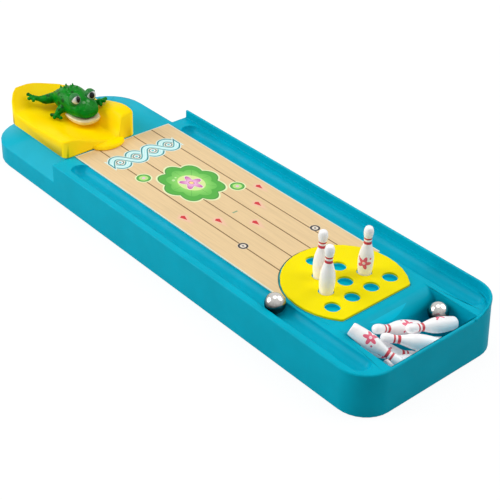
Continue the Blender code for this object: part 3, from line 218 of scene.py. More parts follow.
class Finish:
    """One material, written as expressions."""

    def __init__(self, name, **sockets):
        self.material = bpy.data.materials.new(name)
        self.material.use_nodes = True
        self.tree = self.material.node_tree
        self.shader = self.tree.nodes["Principled BSDF"]
        for key, value in sockets.items():
            self.set(key.replace("_", " "), value)

    def put(self, socket, value):
        """Links a socket to a wire, or sets its value."""
        if isinstance(value, Wire):
            self.tree.links.new(value.socket, socket)
        elif socket.type == "RGBA":
            socket.default_value = (*value, 1)
        else:
            socket.default_value = value

    def set(self, name, value):
        """Sets or links one of the surface's own sockets."""
        self.put(self.shader.inputs[name], value)

    def node(self, kind, settings=None, *values, output=0, **named):
        """Adds a node: its settings, then its sockets in order, None for one left alone, or by name."""
        made = self.tree.nodes.new(kind)
        for key, value in (settings or {}).items():
            setattr(made, key, value)
        for index, value in enumerate(values):
            if value is not None:
                self.put(made.inputs[index], value)
        for key, value in named.items():
            self.put(made.inputs[key.replace("_", " ")], value)
        return Wire(self, made.outputs[output])

    def place(self, attribute=None):
        """The place on the object, or one kept in an attribute, whole and as X, Y and Z in millimetres."""
        if attribute:
            vector = self.node("ShaderNodeAttribute", {"attribute_name": attribute}, output="Vector")
        else:
            vector = self.node("ShaderNodeTexCoord", output="Object")
        scaled = self.node("ShaderNodeVectorMath", {"operation": "SCALE"}, vector, Scale=1 / MM)
        return scaled, *(self.node("ShaderNodeSeparateXYZ", None, scaled, output=axis) for axis in "XYZ")

    def cloud(self, vector, scale, detail=3.0):
        """Noise from 0 to 1, with its scale in lumps for each millimetre."""
        return self.node("ShaderNodeTexNoise", None, vector, Scale=scale, Detail=detail, Roughness=0.5)

    def mix(self, share, under, over):
        """One colour over another."""
        return self.node("ShaderNodeMix", {"data_type": "RGBA"}, share, *[None] * 5, under, over, output=2)

    def band(self, colour, shape, reach, tone, soft=0.12, strength=1.0):
        """Fills a shape, and so far beyond it, with a screen colour."""
        return self.mix((shape - reach).inside(soft) * strength, colour, srgb(*tone))

    def fill(self, colour, shape, *bands):
        """Fills a shape with several bands, from outside in."""
        for band in bands:
            colour = self.band(colour, shape, *band)
        return colour

    def bump(self, height, strength, depth):
        """Small relief from a height between 0 and 1, with its depth in metres."""
        relief = self.node("ShaderNodeBump", None, Strength=strength, Distance=depth, Height=height)
        self.set("Normal", relief)


def darker(colour, share):
    """A colour with each part cut to a share."""
    return tuple(part * share for part in colour)


def circle(x, y, centre, radius):
    """The distance to a round outline, negative inside."""
    dx = x - centre[0]
    dy = y - centre[1]
    return (dx * dx + dy * dy).root() - radius


def moulded(name, colour, shade, roughness, grain=0.10, over=None, painted_fill_light=0.0):
    """Moulded plastic: a faint unevenness in colour and gloss, the fine grain of the mould, and where asked,
    painted fill light given off as an emission.
    """
    finish = Finish(name, IOR=PLASTIC_IOR, Specular_IOR_Level=PLASTIC_SHINE)
    vector, _, _, z = finish.place()
    flow = finish.cloud(vector, 0.06, 4.0)
    fine = finish.cloud(vector, 2.2, 2.0)
    surface = finish.mix(flow.rise(0.3, 0.7), colour, shade)
    finish.set("Base Color", over(finish, surface, z) if over else surface)
    # Painted fill light: the plastic gives off light of its own, dim orange on flat faces and yellow on
    # upright faces and rounded corners, to lift their shade.
    if painted_fill_light:
        painted_fill_share = finish.node("ShaderNodeAttribute", {"attribute_name": "painted_fill_share"}, output="Fac")
        flat = (0.29 * colour[0], 0.12 * colour[1], 0)
        upright = (colour[0], 0.8 * colour[1], 0.03)
        finish.set("Emission Color", finish.mix(painted_fill_share, flat, upright))
        finish.set("Emission Strength", painted_fill_light)
    finish.set("Roughness", roughness + (fine - 0.5) * 0.10 + (flow - 0.5) * 0.06)
    finish.bump(fine, grain, 0.00003)
    return finish


def note_painted_fill(piece):
    """Writes how upright each face is, most at a rounded corner, as the share of painted fill light that the
    finish gives off there, lifting the shade the lamps leave.
    """
    normals = [corner.vector.copy() for corner in piece.data.corner_normals]
    layer = piece.data.attributes.new("painted_fill_share", "FLOAT", "CORNER")
    layer.data.foreach_set("value", [
        (1 - abs(n.z)) * (0.2 * abs(n.x) + 0.5 * abs(n.y) + abs(n.x * n.y)) for n in normals
    ])


def paint_light(finish, where, colour, strength):
    """Paints light into a part that lies deep, such as the floor and walls of the pin holes, as an emission
    that lifts their shade.
    """
    finish.set("Emission Color", finish.mix(where, (0, 0, 0), colour))
    finish.set("Emission Strength", strength)


def dress(piece, body, node):
    """Fixes a finished piece to its body, in place of its solid."""
    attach(piece, body)
    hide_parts(node)


def settled(piece):
    """Applies a piece's modifiers."""
    bpy.context.view_layer.update()
    graph = bpy.context.evaluated_depsgraph_get()
    mesh = bpy.data.meshes.new_from_object(piece.evaluated_get(graph))
    mesh.name = piece.name
    old = piece.data
    piece.modifiers.clear()
    piece.data = mesh
    bpy.data.meshes.remove(old)
    return piece


def smoothed(piece, sharp):
    """Shades a piece smooth, but for edges sharper than this in degrees."""
    piece.data.shade_smooth()
    piece.data.set_sharp_from_angle(angle=math.radians(sharp))


def piece_from(name, bm, material=None, sharp=35):
    """An object at the origin from a mesh that is in its place."""
    mesh = bpy.data.meshes.new(name)
    bm.to_mesh(mesh)
    bm.free()
    piece = bpy.data.objects.new(name, mesh)
    bpy.context.collection.objects.link(piece)
    smoothed(piece, sharp)
    if material:
        mesh.materials.append(material)
    return piece


def round_piece(node, name, material):
    """A ball where a solid's ball is."""
    low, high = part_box(node)
    bm = bmesh.new()
    bmesh.ops.create_icosphere(bm, subdivisions=5, radius=(high.x - low.x) / 2)
    bmesh.ops.translate(bm, vec=(low + high) / 2, verts=bm.verts)
    return piece_from(name, bm, material, 180)


def refined(node, name, body, material, edge=0.0, sharp=30):
    """A solid's copy on its body, with whole faces and edges softly rounded as a mould leaves them."""
    bm = bmesh.new()
    bm.from_mesh(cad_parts[node].data)
    bmesh.ops.remove_doubles(bm, verts=bm.verts, dist=WELD)
    piece = piece_from(name, bm, None, sharp)
    if edge:
        bevel = piece.modifiers.new("Edges", "BEVEL")
        bevel.width = edge
        bevel.segments = 2
        bevel.limit_method = "ANGLE"
        bevel.angle_limit = math.radians(BEVEL_FROM)
        bevel.use_clamp_overlap = False
        bevel.miter_outer = "MITER_ARC"
        settled(piece)
        smoothed(piece, sharp)
    weights = piece.modifiers.new("Even shading", "WEIGHTED_NORMAL")
    weights.keep_sharp = True
    settled(piece)
    piece.data.materials.clear()
    piece.data.materials.append(material)
    dress(piece, body, node)
    return piece


def tint(name, description, *screen):
    """A colour setting, from the 0 to 255 values of a screen colour."""
    return bpy.props.FloatVectorProperty(
        name=name, description=description, default=srgb(*screen), subtype="COLOR", size=3, min=0, max=1
    )


def metres(name, description, default, least=0.0):
    """A setting in metres."""
    return bpy.props.FloatProperty(
        name=name, description=description, default=default, min=least, unit="LENGTH", precision=5
    )


def angle(name, description, degrees):
    """A setting that is an angle, given in degrees."""
    return bpy.props.FloatProperty(
        name=name, description=description, default=math.radians(degrees), subtype="ANGLE", unit="ROTATION"
    )


class TraySettings(bpy.types.PropertyGroup):
    colour: tint("Tray colour", "Colour of the moulded tray", 0, 181, 208)
    edge: metres("Edge radius", "How far the tray's edges are rounded", 0.00035)
    # Painted light in the pin holes: how much their walls and floor glow.
    seat_painted_light: bpy.props.FloatProperty(
        name="Seat light", description="How much the walls and floor of the pin holes are lifted",
        default=0.22, min=0, max=1,
    )


class LaneSettings(bpy.types.PropertyGroup):
    wood: tint("Wood colour", "Ground colour of the printed lane", 238, 208, 160)
    plank: tint("Plank line", "Colour of the lines between the planks", 112, 80, 42)
    arrow: tint("Arrow colour", "Colour of the aiming arrows", 214, 58, 66)


class PinSettings(bpy.types.PropertyGroup):
    height: metres("Pin height", "Height of one pin", 0.0303, 0.001)
    radius: metres("Pin radius", "Radius of a pin's belly", 0.0041, 0.0005)
    rings: bpy.props.IntProperty(name="Rings", description="Rings along a pin", default=72, min=16)
    sides: bpy.props.IntProperty(name="Sides", description="Faces round a pin", default=56, min=12)


class LauncherSettings(bpy.types.PropertyGroup):
    colour: tint("Launcher colour", "Colour of the launcher's housing", 252, 226, 0)
    plate: tint("Plate colour", "Colour of the pin plate", 254, 236, 2)
    plate_face: metres("Plate face", "Depth of the plate's yellow face, over the tray's colour", 0.0012)
    # Painted fill light: how much light the yellow mouldings give off by themselves to lift their shaded
    # sides.
    painted_fill_light: bpy.props.FloatProperty(
        name="Glow", description="How much the yellow pigment lights up by itself", default=0.41, min=0, max=1
    )
    edge: metres("Edge radius", "How far the yellow mouldings' edges are rounded", 0.0003)


class FigureSettings(bpy.types.PropertyGroup):
    skin: tint("Skin colour", "Ground colour of the figure's skin", 0, 142, 26)
    patches: tint("Patch colour", "Colour of the dark patches", 2, 74, 16)
    belly: tint("Belly colour", "Colour of the jaw and belly", 240, 222, 176)
    length: metres("Length", "From the jaw's front to the rump", 0.0383)
    width: metres("Width", "Across the body", 0.0186)
    height: metres("Height", "From the deck to the back", 0.0237)
    deck: metres("Deck", "Height of the deck under the launcher", 0.024)
    mouth: metres("Mouth height", "Height of the mouth over the deck", 0.0103)
    lip: metres("Lip", "Radius of the jaw's rolled lip", 0.0009)
    rock: angle("Rock", "How far the figure tips back", 6)
    warts: bpy.props.FloatProperty(
        name="Warts", description="Warts on each square metre of the back", default=90000, min=0
    )
    voxel: metres("Skin detail", "Size of the smallest detail in the skin", 0.00028, 0.0001)


class StageSettings(bpy.types.PropertyGroup):
    camera: bpy.props.FloatVectorProperty(
        name="Camera place", description="Where the camera stands", subtype="TRANSLATION", size=3,
        default=(-0.3630, -0.4250, 0.3635), unit="LENGTH",
    )
    turn: angle("Camera turn", "Turn of the view from +Y towards +X", 42.58)
    drop: angle("Camera drop", "How far the view looks down", 33.71)
    roll: angle("Camera roll", "Roll of the view", 2.50)
    lens: bpy.props.FloatProperty(
        name="Lens", description="Focal length on a 36 mm sensor", default=83.49, unit="CAMERA"
    )


def plate_distance(x, y):
    """The distance to the pin plate's round front."""
    low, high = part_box("pin_plate")
    radius = (high.x - low.x) / 2 / MM
    return circle(x, y, (0, high.y / MM - radius), radius)


class BOWLING_OT_tray(bpy.types.Operator):
    """Make the moulded tray with its rounded edges"""

    bl_idname = "bowling.tray"
    bl_label = "Tray"

    def execute(self, context):
        settings = context.scene.bowling_tray
        colour = tuple(settings.colour)
        finish = moulded("tray_plastic", colour, darker(colour, 0.93), 0.30, grain=0.12)
        _, x, y, z = finish.place()
        # Painted light: the floor and walls of the pin holes under the plate glow in the tray's colour,
        # lifting their shade.
        seat = plate_distance(x, y).most(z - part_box("pin_plate")[0].z / MM - 0.2)
        paint_light(finish, seat.inside(0.1), colour, settings.seat_painted_light)
        refined("tray_body", "tray_shell", "tray", finish.material, settings.edge)
        return {"FINISHED"}


def lane_finish(settings):
    """The printed lane: planks, aiming arrows, a garland at the launcher and a rosette before the arrows."""
    finish = Finish("lane_printed", IOR=PLASTIC_IOR, Specular_IOR_Level=PRINT_SHINE)
    vector, x, y, _ = finish.place()
    half = (LANE_HIGH.x - LANE_LOW.x) / 2 / MM
    along_wood = finish.node("ShaderNodeVectorMath", {"operation": "MULTIPLY"}, vector, (1.0, 0.045, 1.0))
    grain = finish.node("ShaderNodeTexNoise", None, along_wood, Scale=1.1, Detail=5.0, Roughness=0.55)
    wood = tuple(settings.wood)
    colour = finish.mix(grain.rise(0.35, 0.75), wood, darker(wood, 0.90))
    lines = None
    for share in (0.225, 0.42, 0.61, 0.805):
        line = abs(x - (2 * share - 1) * half) - 0.34
        lines = line if lines is None else lines.least(line)
    colour = finish.mix(lines.inside(), colour, tuple(settings.plank))

    head = LANE_HIGH.y / MM
    colour = garland(finish, colour, x, y, head - 22)
    colour = rosette(finish, colour, x, y, (0.5, head - 66))
    colour = arrows(finish, colour, x, y, tuple(settings.arrow))
    colour = marks(finish, colour, x, y)
    # Painted shadow: a dark line on the lane round the pin plate's front, where the gap at the plate's edge
    # lies in shade.
    colour = finish.band(colour, plate_distance(x, y), 1.0, (24, 62, 40), 0.2, 0.85)
    border = (half - abs(x)).least(head - y)
    finish.set("Base Color", finish.band(colour, border, 0.65, (222, 240, 230), 0.2, 0.8))
    fine = finish.cloud(vector, 1.6, 2.0)
    finish.set("Roughness", 0.42 + (fine - 0.5) * 0.12)
    finish.bump(grain, 0.15, 0.00002)
    return finish


def garland(finish, colour, x, y, middle):
    """Two pale ribbons that cross again and again, with a disc in each of their loops."""
    turn = x * (math.tau / 24)
    steep = (1 + turn.cos() * turn.cos() * 1.9).root()
    ends = abs(x) - 24
    for side in (-1, 1):
        ribbon = (abs(y - middle - turn.sin() * 5.6 * side) / steep - 1.5).most(ends)
        colour = finish.fill(colour, ribbon, (1.3, (226, 246, 240)), (0.7, INK), (0, (186, 242, 242)))
        shine = abs(ribbon + 0.95) - 0.22
        colour = finish.mix(shine.inside(0.1) * ends.inside() * 0.8, colour, srgb(250, 255, 255))
    across = (x + 12) % 12 - 6
    along = y - middle
    disc = ((across * across + along * along).root() - 1.7).most(ends)
    return finish.fill(colour, disc, (0.6, INK), (0, (255, 255, 255)), (-0.8, (86, 204, 204)))


def rosette(finish, colour, x, y, centre):
    """A lobed green rosette with a pink star, and two leaf-green rings beside it."""
    dx = x - centre[0]
    dy = (y - centre[1]) * 0.80
    far = (dx * dx + dy * dy).root()
    turn = dy.angle(dx)
    wave = abs((turn * 4).cos())
    lobes = far - 14.5 - wave * 3.0
    colour = finish.fill(colour, lobes, (1.2, (236, 250, 196), 0.2), (0, (86, 178, 70), 0.2))
    colour = finish.band(colour, abs(lobes), 0.3, (40, 118, 50), 0.12, 0.8)
    petal = finish.mix(far.rise(6, 13), srgb(150, 222, 112), srgb(112, 198, 88))
    colour = finish.mix((far - 11.0 - wave * 2.2).inside(0.3), colour, petal)
    large_gleam = circle(x, y, (centre[0] - 6.5, centre[1] + 8.5), 1.0)
    small_gleam = circle(x, y, (centre[0] - 3.6, centre[1] + 10.2), 0.6)
    colour = finish.band(colour, large_gleam.least(small_gleam), 0, (222, 250, 190), 0.2, 0.8)
    veins = abs((turn * 4).sin()) * far - 0.35
    colour = finish.mix(veins.inside(0.2) * (far - 13).inside() * 0.7, colour, srgb(60, 146, 62))
    colour = finish.band(colour, far, 7.4, (222, 240, 160), 0.2)
    star = far - 4.6 - (turn * 5).cos() * 1.7
    colour = finish.fill(colour, star, (0.6, (255, 240, 248)), (0.15, (178, 84, 148)))
    blossom = finish.mix(far.rise(1.5, 6), srgb(246, 190, 226), srgb(216, 118, 184))
    colour = finish.mix((star + 0.25).inside(), colour, blossom)
    colour = finish.fill(colour, far, (1.6, (196, 96, 160)), (1.2, (255, 232, 150)))
    for side, along in ((-1, 21), (1, -19)):
        ring = circle(x, y, (centre[0] + side * 18.5, centre[1] + along), 4.2)
        colour = finish.fill(
            colour, ring, (0.8, (236, 250, 196)), (0, (52, 132, 56)), (-0.5, (98, 186, 76)),
            (-1.5, (190, 232, 140)), (-3.2, (246, 190, 226)),
        )
    return colour


def arrows(finish, colour, x, y, red):
    """Five aiming arrows in a V whose middle one is nearest to the pins."""
    shape = None
    for tip_x, tip_y in ((-26.4, -7.0), (-13.2, -21.0), (1.5, -35.0), (15.5, -20.9), (28.6, -7.2)):
        dx = abs(x - tip_x)
        dy = y - tip_y
        dart = (dx * 0.93 - dy * 0.36).most(dy - 5.4 + dx * 0.7)
        shape = dart if shape is None else shape.least(dart)
    colour = finish.band(colour, shape, 1.5, (252, 196, 180), 1.1, 0.55)
    return finish.mix(shape.inside(), colour, red)


def marks(finish, colour, x, y):
    """Two small dark rings and a dash, as printers' ornaments."""
    for centre in ((-19.1, -45.2), (23.4, -56.1)):
        ring = circle(x, y, centre, 2.3)
        colour = finish.band(colour, ring, 0.7, (248, 246, 240), 0.4, 0.6)
        colour = finish.band(colour, abs(ring), 0.55, (52, 50, 56), 0.15)
        colour = finish.band(colour, ring, -1.6, (120, 118, 124), 0.15)
    dash = (abs(x + 0.3) - 1.7).most(abs(y + 16.7) - 0.5)
    return finish.band(colour, dash, 0, (70, 150, 120), 0.2, 0.8)


class BOWLING_OT_lane(bpy.types.Operator):
    """Make the printed lane sheet"""

    bl_idname = "bowling.lane"
    bl_label = "Lane"

    def execute(self, context):
        finish = lane_finish(context.scene.bowling_lane)
        refined("lane_sheet", "lane_print", "tray", finish.material)
        return {"FINISHED"}


class BOWLING_OT_plate(bpy.types.Operator):
    """Make the pin plate with its rounded holes"""

    bl_idname = "bowling.plate"
    bl_label = "Pin plate"

    def execute(self, context):
        settings = context.scene.bowling_launcher
        colour = tuple(settings.plate)
        tray = tuple(context.scene.bowling_tray.colour)
        face = (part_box("pin_plate")[1].z - settings.plate_face) / MM

        def lower_part(finish, surface, z):
            return finish.mix((z - face).inside(0.1), surface, tray)

        finish = moulded("plate_plastic", colour, darker(colour, 0.95), 0.28, over=lower_part)
        z = finish.place()[3]
        # Painted light: the tray-coloured lower part of the plate's holes glows, lifting their shade.
        paint_light(finish, (z - face).inside(0.1), tray, context.scene.bowling_tray.seat_painted_light)
        refined("pin_plate", "pin_plate_moulding", "tray", finish.material, settings.edge)
        return {"FINISHED"}


class Tree:
    """A tree of geometry nodes with named inputs, built one node to a call."""

    def __init__(self, name, *inputs):
        self.group = bpy.data.node_groups.new(name, "GeometryNodeTree")
        face = self.group.interface
        self.names = {}
        for label, kind, *default in inputs:
            socket = face.new_socket(label, in_out="INPUT", socket_type=f"NodeSocket{kind}")
            if default:
                socket.default_value = default[0]
            self.names[label] = socket.identifier
        face.new_socket("Geometry", in_out="OUTPUT", socket_type="NodeSocketGeometry")
        self.given = self.group.nodes.new("NodeGroupInput").outputs

    def add(self, kind, values=None, output=0, **settings):
        """Adds a node with its settings, sets or links its inputs, and gives one of its outputs."""
        made = self.group.nodes.new(kind)
        for key, value in settings.items():
            setattr(made, key, value)
        for key, value in (values or {}).items():
            for one in value if isinstance(value, list) else [value]:
                if isinstance(one, bpy.types.NodeSocket):
                    self.group.links.new(one, made.inputs[key])
                else:
                    made.inputs[key].default_value = one
        return made.outputs[output]

    def close(self, geometry, material):
        """Ends the tree with real, smooth geometry in its material."""
        real = self.add("GeometryNodeRealizeInstances", {0: geometry})
        smooth = self.add("GeometryNodeSetShadeSmooth", {0: real})
        coated = self.add("GeometryNodeSetMaterial", {0: smooth, "Material": material})
        self.group.links.new(coated, self.group.nodes.new("NodeGroupOutput").inputs[0])

    def apply(self, piece, values):
        """Runs the tree on a piece, with its inputs set by their sockets' identifiers."""
        modifier = piece.modifiers.new(self.group.name, "NODES")
        modifier.node_group = self.group
        for label, value in values.items():
            modifier[self.names[label]] = value
        settled(piece)


def pin_tree(material):
    """Geometry nodes that turn one pin from its outline, and keep each point's place on the pin."""
    tree = Tree(
        "Turned pin", ("Height", "Float", 0.0303), ("Radius", "Float", 0.0041),
        ("Rings", "Int", 72), ("Sides", "Int", 56),
    )
    given, add = tree.given, tree.add
    top = add("ShaderNodeCombineXYZ", {"Z": given["Height"]})
    line = add("GeometryNodeCurvePrimitiveLine", {"End": top})
    spaced = add("GeometryNodeResampleCurve", {"Curve": line, "Count": given["Rings"]})
    outline = add("ShaderNodeFloatCurve", {"Value": add("GeometryNodeSplineParameter", output="Factor")})
    mapping = outline.node.mapping
    points = mapping.curves[0].points
    while len(points) < len(PIN_OUTLINE_SHARES):
        points.new(0.5, 0.5)
    for point, (radius, height) in zip(points, PIN_OUTLINE_SHARES):
        point.location = (height, radius)
    mapping.update()
    sized = add("ShaderNodeMath", {0: outline, 1: given["Radius"]}, operation="MULTIPLY")
    ring = add("GeometryNodeCurvePrimitiveCircle", {"Radius": 1.0, "Resolution": given["Sides"]})
    skin = add(
        "GeometryNodeCurveToMesh", {"Curve": spaced, "Profile Curve": ring, "Scale": sized, "Fill Caps": True}
    )
    welded = add("GeometryNodeMergeByDistance", {0: skin, "Distance": 0.00001})
    kept = add(
        "GeometryNodeStoreNamedAttribute",
        {"Geometry": welded, "Name": "pin_place", "Value": add("GeometryNodeInputPosition")},
        data_type="FLOAT_VECTOR", domain="POINT",
    )
    tree.close(kept, material)
    return tree


def pin_finish():
    """White plastic with two red bands at the neck and a small pink motif on the belly."""
    finish = Finish("pin_plastic", IOR=1.48)
    vector, x, y, z = finish.place("pin_place")
    fine = finish.cloud(vector, 0.5)
    colour = finish.mix(fine.rise(0.3, 0.75), srgb(255, 254, 253), srgb(247, 244, 246))
    low_band, high_band = (abs(z - middle) - half for middle, half in PIN_BANDS)
    colour = finish.band(colour, low_band.least(high_band), 0, (206, 52, 66), 0.18)
    around = x.angle(-y) * 3.9
    up = z - 10.2
    far = (around * around + up * up).root()
    front = y.inside(0.2)
    star = (far - 2.8 - (up.angle(around) * 5).cos()).most(y)
    colour = finish.band(colour, star, 0, (232, 96, 124))
    colour = finish.mix((far - 0.8).inside() * front, colour, srgb(252, 226, 232))
    for side in (-1, 1):
        dot = circle(around, up, (side * 3.3, 2.6), 0.55)
        colour = finish.mix(dot.inside() * front, colour, srgb(222, 96, 120))
    finish.set("Base Color", colour)
    # Painted light: the pin gives off a little light in its own colours, so it reads whiter.
    finish.set("Emission Color", colour)
    finish.set("Emission Strength", PIN_PAINTED_LIGHT)
    finish.set("Roughness", 0.26 + (fine - 0.5) * 0.10)
    finish.bump(finish.cloud(vector, 2.0, 2.0), 0.06, 0.00002)
    return finish


def pin_pose(node):
    """Where a pin's foot is and which way it stands, from its solid."""
    points = np.array([vert.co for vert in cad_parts[node].data.vertices])
    middle = points.mean(0)
    axes = np.linalg.eigh(np.cov((points - middle).T))[1]
    axis = Vector(axes[:, -1])
    heights = (points - middle) @ np.array(axis)
    radii = np.linalg.norm((points - middle) - np.outer(heights, np.array(axis)), axis=1)
    third = (heights.max() - heights.min()) / 3
    if radii[heights > heights.max() - third].max() > radii[heights < heights.min() + third].max():
        axis, heights = -axis, -heights
    ends = points[heights < heights.min() + 0.00002]
    foot = Vector((ends.min(0) + ends.max(0)) / 2)
    return foot, axis


class BOWLING_OT_pins(bpy.types.Operator):
    """Turn the ten pins and lay each where its solid is"""

    bl_idname = "bowling.pins"
    bl_label = "Pins"

    def execute(self, context):
        settings = context.scene.bowling_pins
        tree = pin_tree(pin_finish().material)
        viewer = Vector(context.scene.bowling_stage.camera)
        for number, turn in enumerate(PIN_TURNS, 1):
            piece = bpy.data.objects.new(f"turned_pin_{number}", bpy.data.meshes.new("pin"))
            context.collection.objects.link(piece)
            tree.apply(piece, {
                "Height": settings.height, "Radius": settings.radius,
                "Rings": settings.rings, "Sides": settings.sides,
            })
            foot, axis = pin_pose(f"pin_{number}")
            facing = viewer - foot
            facing -= axis * facing.dot(axis)
            back = -(Matrix.Rotation(math.radians(turn), 3, axis) @ facing.normalized())
            place = Matrix((back.cross(axis), back, axis)).transposed().to_4x4()
            piece.data.transform(Matrix.Translation(foot) @ place)
            smoothed(piece, 50)
            dress(piece, f"pin_{number}", f"pin_{number}")
        return {"FINISHED"}


class BOWLING_OT_balls(bpy.types.Operator):
    """Make the two polished steel balls"""

    bl_idname = "bowling.balls"
    bl_label = "Balls"

    def execute(self, context):
        for node in ("ball_gutter", "ball_bin"):
            low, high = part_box(node)
            finish = Finish(f"polished_{node}", Metallic=1.0)
            vector, _, _, z = finish.place()
            smear = finish.cloud(vector, 0.5, 4.0)
            # Painted reflection: the steel is dark underneath and pale on top, as if it mirrored a bright
            # space above and a dark one below; noise smears the line between.
            up = (z - (low.z + high.z) / 2 / MM) * (2 * MM / (high.z - low.z))
            rise = (up + (smear - 0.5) * 0.5).rise(-0.1, 1.0)
            finish.set("Base Color", finish.mix(rise, srgb(50, 56, 58), srgb(206, 202, 198)))
            finish.set("Roughness", 0.10 + smear * 0.12)
            dress(round_piece(node, f"steel_{node}", finish.material), node, node)
        return {"FINISHED"}


class BOWLING_OT_launcher(bpy.types.Operator):
    """Make the launcher's housing, closing plate, shoe and screws"""

    bl_idname = "bowling.launcher"
    bl_label = "Launcher"

    def execute(self, context):
        settings = context.scene.bowling_launcher
        colour = tuple(settings.colour)
        shade = (colour[0], colour[1] * 0.93, colour[2])
        finish = moulded("launcher_plastic", colour, shade, 0.30, painted_fill_light=settings.painted_fill_light)
        for node in ("launcher_housing", "launcher_base", "slide_shoe"):
            edge = 0.0 if node == "launcher_housing" else settings.edge
            name = f"{node}_moulding"
            note_painted_fill(refined(node, name, "launcher", finish.material, edge))
        steel = steel_finish()
        for node in ["slide_screw", "rocker_pin", *(f"housing_screw_{n}" for n in range(1, 5))]:
            refined(node, f"{node}_turned", "launcher", steel, 0.0001)
        spring = refined("return_spring", "return_spring_wire", "launcher", steel, sharp=60)
        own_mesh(spring)
        return {"FINISHED"}


def steel_finish():
    """Plain zinc-plated steel with faint turning marks."""
    known = bpy.data.materials.get("plated_steel")
    if known:
        return known
    finish = Finish("plated_steel", Metallic=1.0)
    lathe_marks = finish.cloud(finish.place()[0], 3.0)
    finish.set("Base Color", finish.mix(lathe_marks, srgb(168, 168, 172), srgb(196, 196, 200)))
    finish.set("Roughness", 0.26 + lathe_marks * 0.16)
    finish.bump(lathe_marks, 0.2, 0.00002)
    return finish.material


class BOWLING_OT_rocker(bpy.types.Operator):
    """Make the rocker that carries the figure, and its screw"""

    bl_idname = "bowling.rocker"
    bl_label = "Rocker"

    def execute(self, context):
        yellow = bpy.data.materials["launcher_plastic"]
        refined("rocker", "rocker_moulding", "figure", yellow, 0.00012)
        refined("figure_screw", "figure_screw_turned", "figure", steel_finish(), 0.0001)
        return {"FINISHED"}


class Figure:
    """The figure's own frame: shares of its length, width and height into places on the launcher."""

    def __init__(self, settings):
        jaw_low, jaw_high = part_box("figure_jaw")
        pin_low, pin_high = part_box("rocker_pin")
        self.front = jaw_low.y - JAW_SECTION_SHARES[0][0] * settings.length
        self.middle = (jaw_low.x + jaw_high.x) / 2
        self.deck = settings.deck
        self.mouth = settings.deck + settings.mouth
        self.length = settings.length
        self.half = settings.width / 2
        self.height = settings.height
        self.pivot = (pin_low.y + pin_high.y) / 2
        self.slope = math.tan(settings.rock)
        dish = bmesh.new()
        dish.from_mesh(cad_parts["launcher_housing"].data)
        self.dish = BVHTree.FromBMesh(dish)
        dish.free()
        self.eyes = [sum(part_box(f"eye_{side}"), Vector()) / 2 for side in GAZES]
        across, along, high = NOSTRIL_PLACE
        self.nostrils = [
            Vector((self.middle + side * across, self.front + along, self.deck + high)) for side in (-1, 1)
        ]

    def rings(self, table, count):
        """Closely spaced sections through a table's, each a softened oval."""
        columns = list(zip(*table))
        first, last = columns[0][0], columns[0][-1]
        spots = first + (last - first) * (1 - np.cos(np.linspace(0, 1, count) * math.pi)) / 2
        smooth = [np.interp(spots, columns[0], column) for column in columns[1:]]
        for _ in range(3):
            for values in smooth:
                values[1:-1] = (values[:-2] + 2 * values[1:-1] + values[2:]) / 4
        rings = []
        for spot, wide, top, bottom in zip(spots, *smooth):
            ring = []
            for step in range(SECTION_POINTS):
                turn = math.tau * step / SECTION_POINTS
                c, s = math.cos(turn), math.sin(turn)
                x = math.copysign(abs(c) ** OVAL_POWER, c) * wide * self.half
                z = ((top + bottom) + math.copysign(abs(s) ** OVAL_POWER, s) * (top - bottom)) / 2
                ring.append((self.middle + x, self.front + spot * self.length, self.deck + z * self.height))
            rings.append(ring)
        return rings

    def joint(self, entry, stout):
        """A bone's end as a place and a thickness, just above the dish where it would touch."""
        along, across, high, thick = entry
        x = self.middle + across * 2 * self.half
        y = self.front + along * self.length
        radius = thick * stout * self.half
        fall = max(y + radius - self.pivot, 0) * self.slope
        ground = self.deck
        for reach in (-radius, 0, radius):
            hit = self.dish.ray_cast(Vector((x, y + reach, 1)), Vector((0, 0, -1)))[0]
            if hit:
                ground = max(ground, hit.z)
        return Vector((x, y, max(self.deck + high * self.height, ground + LIMB_GAP + fall + radius))), radius


def add_loft(bm, rings):
    """A closed skin over rings of equal count."""
    rows = [[bm.verts.new(point) for point in ring] for ring in rings]
    for low, high in zip(rows, rows[1:]):
        for i in range(SECTION_POINTS):
            j = (i + 1) % SECTION_POINTS
            bm.faces.new((low[i], low[j], high[j], high[i]))
    bm.faces.new(reversed(rows[0]))
    bm.faces.new(rows[-1])


def add_ball(bm, place, radius):
    made = bmesh.ops.create_icosphere(bm, subdivisions=3 if radius > 0.002 else 2, radius=radius)["verts"]
    bmesh.ops.translate(bm, vec=place, verts=made)


def add_bone(bm, start, start_radius, end, end_radius, steps=6):
    """Balls strung from one joint to the next, closely enough to grow together."""
    for step in range(steps + 1):
        share = step / steps
        add_ball(bm, start.lerp(end, share), start_radius + (end_radius - start_radius) * share)


def grown(name, bm, voxel, rounds):
    """One smooth skin grown over overlapping bodies."""
    bmesh.ops.recalc_face_normals(bm, faces=bm.faces)
    piece = piece_from(name, bm, None, 180)
    remesh = piece.modifiers.new("Skin", "REMESH")
    remesh.mode = "VOXEL"
    remesh.voxel_size = voxel
    soften = piece.modifiers.new("Soften", "SMOOTH")
    soften.factor = 0.5
    soften.iterations = rounds
    settled(piece)
    piece.data.shade_smooth()
    return piece


def cut_away(piece, name, low, high):
    """Takes a box out of a piece, with a sharp edge where it was cut."""
    low, high = Vector(low), Vector(high)
    bm = bmesh.new()
    bmesh.ops.create_cube(bm, size=1)
    bmesh.ops.scale(bm, vec=high - low, verts=bm.verts)
    bmesh.ops.translate(bm, vec=(low + high) / 2, verts=bm.verts)
    tool = piece_from(name, bm)
    cut = piece.modifiers.new(name, "BOOLEAN")
    cut.operation = "DIFFERENCE"
    cut.solver = "EXACT"
    cut.object = tool
    settled(piece)
    bpy.data.objects.remove(tool)
    smoothed(piece, 60)


